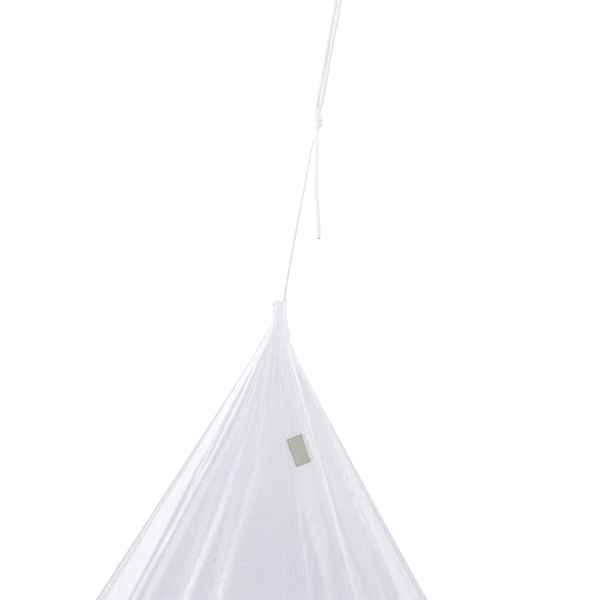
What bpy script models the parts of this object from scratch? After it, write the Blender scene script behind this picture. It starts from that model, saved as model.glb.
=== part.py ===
"""A mosquito net canopy and the cord that it hangs by.

The net is one cone of white mesh cloth, gathered into a narrow neck. A thin cord runs up from
the neck to a knot, and above the knot it is doubled into a loop that goes over a hook. The
hook is no part of this object. The place where it bears on the loop is the origin, +Z is up
and -Y is the front, so +X is to the right of someone who faces the front.

Sizes are in metres. A "drop" is a distance below the top of the neck. A "turn" is an angle
about the net's upright axis in degrees, 0 at the front and growing towards +X.
"""

import math

import bmesh
import bpy
from mathutils import Vector

MM = 0.001
GAP = 0.3 * MM  # between pieces that touch

# The cord: one braid, drawn thinner where the weight of the net pulls on it.
CORD_DIAMETER = 4.8 * MM
TAUT_CORD_DIAMETER = 3.2 * MM
POINT_SPACING = 2.4  # in diameters, along a cord

# The loop, from the hook down to the knot.
BIGHT_RADIUS = 9.0 * MM  # of the cord's middle line, where it goes over the hook
# Between the bight and the knot, the loop's two strands lie side by side.
# across and height place the middle between them; turn swings one round the other.
LOOP_RUN = (
    # across, height, half_spacing, turn
    (-7.1 * MM, -39.0 * MM, 2.9 * MM, 0.0),
    (-10.9 * MM, -62.4 * MM, 2.8 * MM, 4.0),
    (-15.0 * MM, -82.0 * MM, 2.7 * MM, 22.0),
    (-18.3 * MM, -101.0 * MM, 2.65 * MM, 38.0),
    (-21.6 * MM, -118.0 * MM, 2.65 * MM, 18.0),
    (-25.2 * MM, -140.0 * MM, 2.7 * MM, 12.0),
    (-28.6 * MM, -158.0 * MM, 2.7 * MM, 34.0),
    (-31.3 * MM, -172.0 * MM, 2.65 * MM, 52.0),
    (-32.8 * MM, -182.6 * MM, 2.65 * MM, 68.0),
)

# The knot, as sections from its top face to its bottom face.
KNOT_SECTIONS = (
    # across, height, half_width, half_depth
    (-32.9 * MM, -183.2 * MM, 3.0 * MM, 5.0 * MM),
    (-34.0 * MM, -185.6 * MM, 3.6 * MM, 5.4 * MM),
    (-34.6 * MM, -188.2 * MM, 3.3 * MM, 5.0 * MM),
    (-34.2 * MM, -190.6 * MM, 3.2 * MM, 4.8 * MM),
    (-33.4 * MM, -193.4 * MM, 4.9 * MM, 5.6 * MM),
    (-33.0 * MM, -196.2 * MM, 5.6 * MM, 6.0 * MM),
    (-33.1 * MM, -199.0 * MM, 4.9 * MM, 5.7 * MM),
    (-33.4 * MM, -201.8 * MM, 4.0 * MM, 5.2 * MM),
    (-34.2 * MM, -204.4 * MM, 3.4 * MM, 4.8 * MM),
    (-35.3 * MM, -206.4 * MM, 3.0 * MM, 4.6 * MM),
)
KNOT_SIDES = 24
KNOT_WRAPS = 3  # turns of cord that show round the knot
KNOT_RIDGE = 0.45 * MM  # how far each turn stands out
KNOT_PITCH = 17.0 * MM  # height over which a turn climbs once round

# The thin cord from the knot to the neck, and the free end that hangs beside it.
HANGING_CORD = (
    # across, depth, height
    (-36.9 * MM, 1.9 * MM, -207.1 * MM),
    (-39.6 * MM, 1.9 * MM, -221.0 * MM),
    (-43.4 * MM, 1.6 * MM, -239.2 * MM),
    (-50.9 * MM, 1.2 * MM, -280.8 * MM),
    (-58.8 * MM, 0.8 * MM, -322.4 * MM),
    (-66.4 * MM, 0.4 * MM, -364.0 * MM),
    (-73.6 * MM, 0.0 * MM, -405.6 * MM),
    (-75.6 * MM, 0.0 * MM, -418.0 * MM),
    (-76.7 * MM, 0.0 * MM, -430.0 * MM),
)
TAIL = (
    # across, depth, height
    (-34.5 * MM, -2.4 * MM, -207.2 * MM),
    (-36.3 * MM, -2.9 * MM, -218.4 * MM),
    (-36.4 * MM, -3.2 * MM, -239.2 * MM),
    (-36.8 * MM, -3.3 * MM, -260.0 * MM),
    (-37.1 * MM, -3.3 * MM, -280.8 * MM),
    (-36.7 * MM, -3.2 * MM, -291.2 * MM),
    (-35.1 * MM, -3.0 * MM, -301.6 * MM),
    (-34.4 * MM, -2.9 * MM, -322.4 * MM),
    (-32.9 * MM, -2.6 * MM, -343.2 * MM),
    (-31.9 * MM, -2.4 * MM, -349.7 * MM),
)

# The net. Its neck hangs at this place, and its mouth is LENGTH below.
NECK_TOP = Vector((-83.2 * MM, 0.0, -430.3 * MM))
LENGTH = 1.070
CLOTH = 1.6 * MM
HEM_DEPTH = 22.0 * MM
HEM_EXTRA = 0.5 * MM  # added on each face where the hem is turned up
HEM_DIP = 7.0 * MM  # how far the hem line wanders
NECK_RADIUS = 8.5 * MM
CAVITY_DROP = 40.0 * MM  # the gathered cloth is solid above this
# Each side leaves the neck at a bend and then runs straight down to the hem.
LEFT_SLOPE, LEFT_BEND, LEFT_EASE = 0.647, 31.9 * MM, 9.0 * MM
RIGHT_SLOPE, RIGHT_BEND, RIGHT_EASE = 0.545, 51.1 * MM, 11.0 * MM
# The folds turn towards the neck, but the front seam runs straight and holds those beside it.
TWIST = 8.0  # degrees each time the drop shrinks by a factor of e
TWIST_END = 390 * MM  # the drop below which nothing turns
SEAM_TURN = 39.7
SEAM_HOLD = 50.0  # degrees either side
# The neck is cased: the cloth is turned in and doubled down to this drop.
CASING_DEPTH = 45 * MM
CASING_EXTRA = 0.6 * MM
ROW_DROPS = (0, 6, 13, 20, 27, 34, 44, 47, 56, 68, 84, 108, 145, 200, 285, 400, 560, 760, 960)

# Creases that stand out as corners, with the cloth drawn flat between one and the next.
PANELS = (
    # turn, flatness of the cloth up to the next corner
    (-128.6, 0.75),
    (-100.6, 0.90),
    (-66.0, 0.90),
    (-50.5, 0.36),
    (56.0, 0.85),
    (71.4, 0.80),
    (103.4, 0.70),
    (151.4, 0.75),
    (195.4, 0.80),
)
# Soft folds between them. A fold grows from nothing at its start drop.
FOLDS = (
    # turn, half_width, rise as a share of the radius, start drop
    (-111.6, 7.0, 0.030, 120 * MM),
    (-84.0, 6.0, -0.020, 90 * MM),
    (-58.5, 4.5, -0.010, 60 * MM),
    (-47.0, 2.8, 0.034, 40 * MM),
    (-38.6, 4.0, -0.014, 60 * MM),
    (-27.6, 4.5, 0.030, 150 * MM),
    (-14.9, 4.5, 0.026, 130 * MM),
    (2.0, 8.0, -0.012, 200 * MM),
    (19.0, 2.6, 0.012, 170 * MM),
    (28.6, 3.2, 0.018, 180 * MM),
    (34.8, 2.4, -0.012, 60 * MM),
    (SEAM_TURN, 2.2, 0.020, 20 * MM),
    (47.4, 3.2, 0.018, 140 * MM),
    (62.5, 5.0, -0.010, 90 * MM),
    (88.4, 6.0, 0.022, 100 * MM),
    (117.4, 6.0, 0.034, 130 * MM),
    (132.4, 5.0, -0.020, 160 * MM),
    (165.4, 6.0, 0.030, 110 * MM),
    (179.4, 5.0, 0.024, 170 * MM),
    (212.4, 6.0, 0.032, 120 * MM),
)
FOLD_GROWTH = 220 * MM  # further drop in which a fold reaches its full rise
FOLD_LINES = (-1.0, -0.45, 0.0, 0.45, 1.0)  # columns of points across a fold
WIDEST_COLUMN = 7.0  # degrees
# Gathers at the neck, as waves round it that fade out below.
GATHERS = (
    # waves, height as a share of the radius, phase
    (11, 0.075, 20.0),
    (7, 0.050, 75.0),
    (4, 0.035, 150.0),
)
GATHER_FADE = 42 * MM
MOUTH_FLARE = 0.10  # share of the radius that the ruffled top opens out by
MOUTH_DEPTH = 9 * MM

# The woven side label, caught in the seam on the front.
LABEL_WIDTH, LABEL_HEIGHT = 24.0 * MM, 36.8 * MM
LABEL_THICKNESS = 0.8 * MM
LABEL_CENTRE = (26.4 * MM, 194.2 * MM)  # across from the neck, and drop
LABEL_TILT = 20.3  # degrees, its foot swung to the right
LABEL_CLEARANCE = 0.9 * MM
LABEL_STEPS = (4, 5)


def smooth_between(share):
    """0 below 0, 1 above 1, with an easy start and end."""
    share = min(max(share, 0.0), 1.0)
    return share * share * (3.0 - 2.0 * share)


def turn_from(start, turn):
    """How far turn is from start, between -180 and 180 degrees."""
    return (turn - start + 180.0) % 360.0 - 180.0


def clear_scene():
    for found in list(bpy.data.objects):
        bpy.data.objects.remove(found, do_unlink=True)


def new_material(name, colour, roughness):
    material = bpy.data.materials.new(name)
    material.use_nodes = True
    shader = material.node_tree.nodes["Principled BSDF"]
    shader.inputs["Base Color"].default_value = (*colour, 1.0)
    shader.inputs["Roughness"].default_value = roughness
    shader.inputs["Metallic"].default_value = 0.0
    return material


def add_object(name, data, material):
    data.materials.append(material)
    made = bpy.data.objects.new(name, data)
    bpy.context.collection.objects.link(made)
    return made


def solid_from_rings(name, rings, material, sharp_angle):
    """A closed solid skinned over rings of points, the first and last ring filled in."""
    shell = bmesh.new()
    loops = [[shell.verts.new(point) for point in ring] for ring in rings]
    for upper, lower in zip(loops, loops[1:]):
        for i in range(len(upper)):
            j = (i + 1) % len(upper)
            shell.faces.new((upper[i], lower[i], lower[j], upper[j]))
    for end in (loops[0], loops[-1]):
        middle = sum((vert.co for vert in end), Vector()) / len(end)
        hub = shell.verts.new(middle)
        for i in range(len(end)):
            shell.faces.new((end[i], end[(i + 1) % len(end)], hub))
    bmesh.ops.recalc_face_normals(shell, faces=shell.faces)
    mesh = bpy.data.meshes.new(name)
    shell.to_mesh(mesh)
    shell.free()
    mesh.shade_smooth()
    mesh.set_sharp_from_angle(angle=math.radians(sharp_angle))
    return add_object(name, mesh, material)


# ---------------------------------------------------------------- cords


def curve_through(points, spacing):
    """Evenly spaced points on a smooth curve that passes through the given ones."""
    ends = [2 * points[0] - points[1], *points, 2 * points[-1] - points[-2]]
    fine = []
    steps = 24
    for p0, p1, p2, p3 in zip(ends, ends[1:], ends[2:], ends[3:]):
        for step in range(steps):
            t = step / steps
            fine.append(
                0.5 * (2 * p1 + t * (p2 - p0) + t**2 * (2 * p0 - 5 * p1 + 4 * p2 - p3)
                       + t**3 * (3 * p1 - p0 - 3 * p2 + p3))
            )
    fine.append(points[-1])
    length = sum((b - a).length for a, b in zip(fine, fine[1:]))
    count = max(2, round(length / spacing))
    spaced, walked, target = [fine[0]], 0.0, length / count
    for a, b in zip(fine, fine[1:]):
        step = (b - a).length
        while walked + step >= target and len(spaced) < count:
            spaced.append(a.lerp(b, (target - walked) / step))
            target += length / count
        walked += step
    spaced.append(fine[-1])
    return spaced


def add_cord(name, points, diameter, material):
    curve = bpy.data.curves.new(name, "CURVE")
    curve.dimensions = "3D"
    curve.bevel_depth = diameter / 2
    curve.bevel_resolution = 2
    curve.use_fill_caps = True
    route = curve_through(points, POINT_SPACING * diameter)
    spline = curve.splines.new("POLY")
    spline.points.add(len(route) - 1)
    for place, point in zip(spline.points, route):
        place.co = (*point, 1.0)
    return add_object(name, curve, material)


def loop_route():
    """Up one strand of the loop, over the hook and down the other strand."""
    strands = {-1: [], 1: []}
    for across, height, half_spacing, turn in LOOP_RUN:
        for side, strand in strands.items():
            sideways = side * half_spacing * math.cos(math.radians(turn))
            forward = -side * half_spacing * math.sin(math.radians(turn))
            strand.append(Vector((across + sideways, forward, height)))
    bight_middle = CORD_DIAMETER / 2 - BIGHT_RADIUS
    over = []
    for turn in range(180, -1, -30):
        angle = math.radians(turn)
        over.append(Vector((BIGHT_RADIUS * math.cos(angle), 0.0,
                            bight_middle + BIGHT_RADIUS * math.sin(angle))))
    return [*reversed(strands[-1]), *over, *strands[1]]


def add_cords(material):
    add_cord("cord_loop", loop_route(), CORD_DIAMETER, material)
    hanging = [Vector(point) for point in HANGING_CORD]
    add_cord("hanging_cord", hanging, TAUT_CORD_DIAMETER, material)
    add_cord("cord_tail", [Vector(point) for point in TAIL], CORD_DIAMETER, material)


def add_knot(material):
    top = KNOT_SECTIONS[0][1]
    rings = []
    for across, height, half_width, half_depth in KNOT_SECTIONS:
        inside = 0.0 if height in (KNOT_SECTIONS[0][1], KNOT_SECTIONS[-1][1]) else 1.0
        climbed = (top - height) / KNOT_PITCH
        ring = []
        for side in range(KNOT_SIDES):
            angle = 2 * math.pi * side / KNOT_SIDES
            wave = math.cos(KNOT_WRAPS * angle - 2 * math.pi * KNOT_WRAPS * climbed)
            ridge = inside * KNOT_RIDGE * wave
            ring.append(Vector((across + (half_width + ridge) * math.cos(angle),
                                (half_depth + ridge) * math.sin(angle), height)))
        rings.append(ring)
    solid_from_rings("cord_knot", rings, material, 50)


# ---------------------------------------------------------------- net


def reach(drop, slope, bend, ease):
    """Distance from the axis to the net's side, bending out of the neck at this drop."""
    past = (drop - bend) / ease
    opened = past if past > 30.0 else math.log1p(math.exp(past))
    return NECK_RADIUS + slope * ease * opened


def twist_at(turn, drop):
    """How far a fold has turned here, against where it is at the hem."""
    free = smooth_between(abs(turn_from(SEAM_TURN, turn)) / SEAM_HOLD)
    return free * TWIST * max(0.0, math.log(TWIST_END / (drop + 2 * NECK_RADIUS)))


def panel_radius(turn):
    """Radius of the round, as 1 at the corners and less where the cloth is drawn flat."""
    for i, (corner, flatness) in enumerate(PANELS):
        following = PANELS[(i + 1) % len(PANELS)][0]
        width = (following - corner) % 360.0
        along = (turn - corner) % 360.0
        if along <= width:
            chord = math.cos(math.radians(width / 2)) / math.cos(math.radians(along - width / 2))
            return 1.0 - flatness * (1.0 - chord)
    return 1.0


def fold_height(turn, drop):
    height = 0.0
    for crest, half_width, rise, start in FOLDS:
        off = turn_from(crest, turn) / half_width
        if abs(off) < 1.0:
            grown = smooth_between((drop - start) / FOLD_GROWTH)
            height += rise * grown * 0.5 * (1.0 + math.cos(math.pi * off))
    return height


def gather_height(turn, drop):
    waves = sum(
        height * math.cos(math.radians(count * turn + phase)) for count, height, phase in GATHERS
    )
    mouth = MOUTH_FLARE * smooth_between(1.0 - drop / MOUTH_DEPTH)
    return waves * math.exp(-((drop / GATHER_FADE) ** 2)) + mouth


def columns():
    """Turns at the hem of the lines of points that run down the net."""
    turns = {corner % 360.0 for corner, _ in PANELS}
    for crest, half_width, _, _ in FOLDS:
        turns.update((crest + share * half_width) % 360.0 for share in FOLD_LINES)
    ordered = []
    for turn in sorted(turns):
        if not ordered or turn - ordered[-1] > 0.8:
            ordered.append(turn)
    filled = []
    for turn, following in zip(ordered, ordered[1:] + [ordered[0] + 360.0]):
        parts = math.ceil((following - turn) / WIDEST_COLUMN)
        filled += [turn + (following - turn) * part / parts for part in range(parts)]
    return filled


def net_ring(turns, drop):
    """Points (across, depth) round the net at a drop, from its axis."""
    settled = smooth_between(drop / (80 * MM))  # the neck is round, and the panels form below
    left = reach(drop, LEFT_SLOPE, LEFT_BEND, LEFT_EASE)
    right = reach(drop, RIGHT_SLOPE, RIGHT_BEND, RIGHT_EASE)
    shape = []
    for turn in turns:
        radius = 1.0 + settled * (panel_radius(turn) - 1.0 + fold_height(turn, drop))
        radius += gather_height(turn, drop)
        angle = math.radians(turn + twist_at(turn, drop))
        shape.append((radius * math.sin(angle), -radius * math.cos(angle)))
    low = min(across for across, _ in shape)
    high = max(across for across, _ in shape)
    half = (left + right) / 2
    return [
        (-left + (left + right) * (across - low) / (high - low), half * depth)
        for across, depth in shape
    ]


def net_rows(turns):
    """Outer points of the net, one ring for each row."""
    drops = [drop * MM for drop in ROW_DROPS] + [LENGTH - HEM_DEPTH, LENGTH]
    rows = []
    for drop in drops:
        ring = []
        wander = HEM_DIP * smooth_between((drop - LENGTH / 2) / (LENGTH / 2))
        for turn, (across, depth) in zip(turns, net_ring(turns, drop)):
            dip = wander * (math.cos(math.radians(5 * turn)) + math.cos(math.radians(3 * turn + 40)))
            ring.append(NECK_TOP + Vector((across, depth, -drop + dip / 2)))
        rows.append((drop, ring))
    return rows


def moved_out(point, distance):
    """A point on the net moved straight away from the net's axis."""
    flat = Vector((point.x - NECK_TOP.x, point.y - NECK_TOP.y, 0.0))
    return point + flat.normalized() * distance


def add_net(material):
    rows = net_rows(columns())
    outside, inside = [], []
    for drop, ring in rows:
        hem = HEM_EXTRA if drop >= LENGTH - HEM_DEPTH - MM else 0.0
        casing = CASING_EXTRA if drop < CASING_DEPTH else 0.0
        outside.append([moved_out(point, hem + casing) for point in ring])
        if drop >= CAVITY_DROP:
            inside.append([moved_out(point, -CLOTH - hem) for point in ring])
    solid_from_rings("net_canopy", outside + inside[::-1], material, 35)


def front_of_net(across, drop):
    """Depth of the net's front face at a place across from its axis."""
    ring = net_ring([turn / 2 for turn in range(-240, 241)], drop)
    for (x0, y0), (x1, y1) in zip(ring, ring[1:]):
        if x0 <= across <= x1:
            return y0 + (y1 - y0) * (across - x0) / (x1 - x0)
    return 0.0


def add_label(material):
    tilt = math.radians(LABEL_TILT)
    columns_across, rows_down = LABEL_STEPS
    sheet = bmesh.new()
    grid = {}
    for back in (0, 1):
        for row in range(rows_down + 1):
            for column in range(columns_across + 1):
                side = LABEL_WIDTH * (column / columns_across - 0.5)
                down = LABEL_HEIGHT * (row / rows_down - 0.5)
                across = LABEL_CENTRE[0] + side * math.cos(tilt) + down * math.sin(tilt)
                drop = LABEL_CENTRE[1] + down * math.cos(tilt) - side * math.sin(tilt)
                depth = front_of_net(across, drop) - LABEL_CLEARANCE
                depth -= 0.0 if back else LABEL_THICKNESS
                place = NECK_TOP + Vector((across, depth, -drop))
                grid[back, row, column] = sheet.verts.new(place)
    for back in (0, 1):
        for row in range(rows_down):
            for column in range(columns_across):
                corners = ((row, column), (row + 1, column), (row + 1, column + 1), (row, column + 1))
                sheet.faces.new([grid[(back, *corner)] for corner in corners])
    rim = [(0, column) for column in range(columns_across)]
    rim += [(row, columns_across) for row in range(rows_down)]
    rim += [(rows_down, column) for column in range(columns_across, 0, -1)]
    rim += [(row, 0) for row in range(rows_down, 0, -1)]
    for here, there in zip(rim, rim[1:] + rim[:1]):
        sheet.faces.new((grid[(0, *here)], grid[(0, *there)], grid[(1, *there)], grid[(1, *here)]))
    bmesh.ops.recalc_face_normals(sheet, faces=sheet.faces)
    mesh = bpy.data.meshes.new("woven_label")
    sheet.to_mesh(mesh)
    sheet.free()
    add_object("woven_label", mesh, material)


def main():
    clear_scene()
    net = new_material("net_mesh", (0.90, 0.90, 0.93), 0.8)
    braid = new_material("cord_braid", (0.90, 0.90, 0.90), 0.75)
    woven = new_material("label_weave", (0.52, 0.49, 0.42), 0.85)
    add_net(net)
    add_label(woven)
    add_cords(braid)
    add_knot(braid)


main()
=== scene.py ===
"""Dresses a hanging net canopy: mesh cloth, lapped seam, side label, plaited cord and knot.

The file is laid out as an add-on. Each group of pieces has an operator, and main calls them in
order. Sizes are in metres. The origin is where a hook bears on the cord's loop, +Z is up and
-Y is the front. A "drop" is a distance below the top of the neck. A "turn" is an angle about
the net's upright axis in degrees, 0 at the front and growing towards +X. "layers" is how many
thicknesses of mesh cloth lie on each other, which closes its holes; in the creases they also
paint light and shade, more where the net shows lit and fewer where it lies in shade.
"""

import functools
import math
import random

import bpy
import numpy as np
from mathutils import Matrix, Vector


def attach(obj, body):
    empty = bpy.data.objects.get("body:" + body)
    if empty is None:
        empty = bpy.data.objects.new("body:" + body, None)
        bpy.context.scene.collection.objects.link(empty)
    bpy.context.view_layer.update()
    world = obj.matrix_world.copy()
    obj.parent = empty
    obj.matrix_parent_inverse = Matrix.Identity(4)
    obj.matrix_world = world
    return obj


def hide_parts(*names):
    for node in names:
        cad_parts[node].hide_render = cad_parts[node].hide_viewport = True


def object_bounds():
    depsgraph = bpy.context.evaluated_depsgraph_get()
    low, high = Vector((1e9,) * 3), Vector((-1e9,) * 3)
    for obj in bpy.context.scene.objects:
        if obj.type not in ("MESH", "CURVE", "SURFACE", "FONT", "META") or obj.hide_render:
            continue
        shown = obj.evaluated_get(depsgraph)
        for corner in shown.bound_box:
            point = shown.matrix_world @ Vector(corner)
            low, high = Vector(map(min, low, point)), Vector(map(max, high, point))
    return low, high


bl_info = {
    "name": "Net canopy",
    "version": (1, 0, 0),
    "blender": (4, 5, 0),
    "location": "3D View > Sidebar > Net canopy",
    "description": "Dresses a hanging net canopy in mesh cloth, seam, label, cord and knot",
    "category": "Add Mesh",
}

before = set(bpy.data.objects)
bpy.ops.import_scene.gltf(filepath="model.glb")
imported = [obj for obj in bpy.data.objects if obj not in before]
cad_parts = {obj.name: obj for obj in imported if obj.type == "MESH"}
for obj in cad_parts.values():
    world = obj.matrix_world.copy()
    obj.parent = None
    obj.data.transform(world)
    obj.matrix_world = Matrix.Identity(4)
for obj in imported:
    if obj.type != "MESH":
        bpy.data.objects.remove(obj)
CAD_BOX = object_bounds()
MM = 0.001

# ---------------------------------------------------------------- sizes that follow the solids

CORD_DIAMETER = 5.0 * MM  # over the plait's strands
TAUT_CORD_DIAMETER = 3.2 * MM
TAIL_DIAMETER = 6.4 * MM  # the slack end has swelled
BIGHT_RADIUS = 9.0 * MM  # of the cord's middle line, where it goes over the hook
LOOP_RUN = (
    # across, height, half_spacing in mm, turn of one strand round the other
    (-6.9, -39.0, 3.3, 0.0), (-10.8, -62.4, 3.25, 3.0), (-15.0, -82.0, 3.0, 8.0),
    (-18.3, -101.0, 2.8, 6.0), (-21.6, -118.0, 2.8, 3.0), (-25.2, -140.0, 3.0, 0.0),
    (-28.6, -158.0, 3.2, 0.0), (-31.2, -172.0, 3.0, 14.0), (-32.8, -182.6, 2.6, 62.0),
)
HANGING_CORD = (
    # across, depth, height in mm
    (-36.9, 1.9, -207.1), (-39.6, 1.9, -221.0), (-43.4, 1.6, -239.2), (-50.9, 1.2, -280.8),
    (-58.8, 0.8, -322.4), (-66.4, 0.4, -364.0), (-73.6, 0.0, -405.6), (-75.6, 0.0, -418.0),
    (-76.7, 0.0, -430.0), (-78.0, 0.0, -442.0),
)
TAIL = (
    # across, depth, height in mm
    (-34.2, -2.4, -207.2), (-35.5, -2.9, -218.4), (-35.4, -3.2, -239.2), (-35.9, -3.3, -260.0),
    (-36.2, -3.3, -280.8), (-36.1, -3.2, -291.2), (-34.9, -3.0, -301.6), (-33.5, -2.9, -322.4),
    (-32.3, -2.6, -343.2), (-31.9, -2.4, -349.7),
)

NECK_TOP = Vector((-83.2 * MM, 0.0, -430.3 * MM))
LENGTH = 1.070
HEM_DEPTH = 22.0 * MM
HEM_DIP = 7.0 * MM
NECK_RADIUS = 8.5 * MM
LEFT_SLOPE, LEFT_BEND, LEFT_EASE = 0.647, 31.9 * MM, 9.0 * MM
RIGHT_SLOPE, RIGHT_BEND, RIGHT_EASE = 0.545, 51.1 * MM, 11.0 * MM
TWIST = 8.0  # degrees each time the drop shrinks by a factor of e
TWIST_END = 390 * MM
SEAM_TURN = 39.7
SEAM_HOLD = 50.0  # degrees either side that the straight seam holds
PANELS_SETTLE = 80 * MM
CASING_DEPTH = 45 * MM
PANELS = (
    # turn, flatness of the cloth up to the next corner
    (-128.6, 0.75), (-100.6, 0.90), (-66.0, 0.90), (-50.5, 0.36), (56.0, 0.85),
    (71.4, 0.80), (103.4, 0.70), (151.4, 0.75), (195.4, 0.80),
)
FOLDS = (
    # turn, half_width, rise as a share of the radius, start drop in mm
    (-111.6, 7.0, 0.030, 120), (-84.0, 6.0, -0.020, 90), (-58.5, 4.5, -0.010, 60),
    (-47.0, 2.8, 0.034, 40), (-38.6, 4.0, -0.014, 60), (-27.6, 4.5, 0.030, 150),
    (-14.9, 4.5, 0.026, 130), (2.0, 8.0, -0.012, 200), (19.0, 2.6, 0.012, 170),
    (28.6, 3.2, 0.018, 180), (34.8, 2.4, -0.012, 60), (SEAM_TURN, 2.2, 0.020, 20),
    (47.4, 3.2, 0.018, 140), (62.5, 5.0, -0.010, 90), (88.4, 6.0, 0.022, 100),
    (117.4, 6.0, 0.034, 130), (132.4, 5.0, -0.020, 160), (165.4, 6.0, 0.030, 110),
    (179.4, 5.0, 0.024, 170), (212.4, 6.0, 0.032, 120),
)
FOLD_GROWTH = 220 * MM
GATHERS = (
    # waves, height as a share of the radius, phase
    (11, 0.075, 20.0),
    (7, 0.050, 75.0),
    (4, 0.035, 150.0),
)
GATHER_FADE = 42 * MM
MOUTH_FLARE = 0.10
MOUTH_DEPTH = 9 * MM
HEM_WAVES = ((5, 0.0), (3, 40.0))  # waves round the hem, and their phase

LABEL_WIDTH, LABEL_HEIGHT = 24.0 * MM, 36.8 * MM
LABEL_CENTRE = (27.2 * MM, 191.9 * MM)  # across from the neck, and drop
LABEL_TILT = 20.3  # degrees, its foot swung to the right
LABEL_CLEARANCE = 0.9 * MM
LABEL_TUCK = 0.6 * MM  # how far its ends run on under the lap

# ---------------------------------------------------------------- finer sizes of the dressed net

NET_COLUMNS = 840
FRONT_HALF, BACK_DENSITY = 94.0, 0.42  # columns stand closer within this turn of the front
ROW_SPANS = (
    # from drop, to drop, spacing of the rows of points
    (0.0, 42.5 * MM, 2.5 * MM),
    (42.5 * MM, 48.5 * MM, 1.0 * MM),
    (48.5 * MM, 60 * MM, 2.3 * MM),
    (60 * MM, 160 * MM, 5.0 * MM),
    (160 * MM, 400 * MM, 12.0 * MM),
    (400 * MM, LENGTH - HEM_DEPTH, 24.0 * MM),
)
# The cloth turned into the neck, from its free edge up to the mouth.
CASING_ROWS = (
    # drop, share of the way out from the middle of the bunch
    (CASING_DEPTH, 0.88),
    (34 * MM, 0.76),
    (24 * MM, 0.55),
    (16 * MM, 0.38),
    (10 * MM, 0.34),
    (5 * MM, 0.48),
    (2 * MM, 0.74),
    (0.4 * MM, 0.90),
)
BUNCH_MIDDLE = (4.5 * MM, 0.0)  # across and depth from the axis, by the cord
PLY = 0.45 * MM  # between two layers of cloth sewn together
MOUTH_EDGE = (
    # turn, half_width, rise of the mouth's edge
    (-52.0, 44.0, 0.9 * MM),
    (2.0, 15.0, -2.6 * MM),
    (40.0, 16.0, 0.3 * MM),
    (120.0, 30.0, -1.4 * MM),
    (180.0, 50.0, -2.6 * MM),
)
MOUTH_EDGE_FADE = 3 * MOUTH_DEPTH
LEDGE = (76.0, 40.0, 55 * MM, 3.2 * MM, 26 * MM)  # turn, half_width, drop, height, fade
LEDGE_EDGE = 2 * MM
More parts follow.
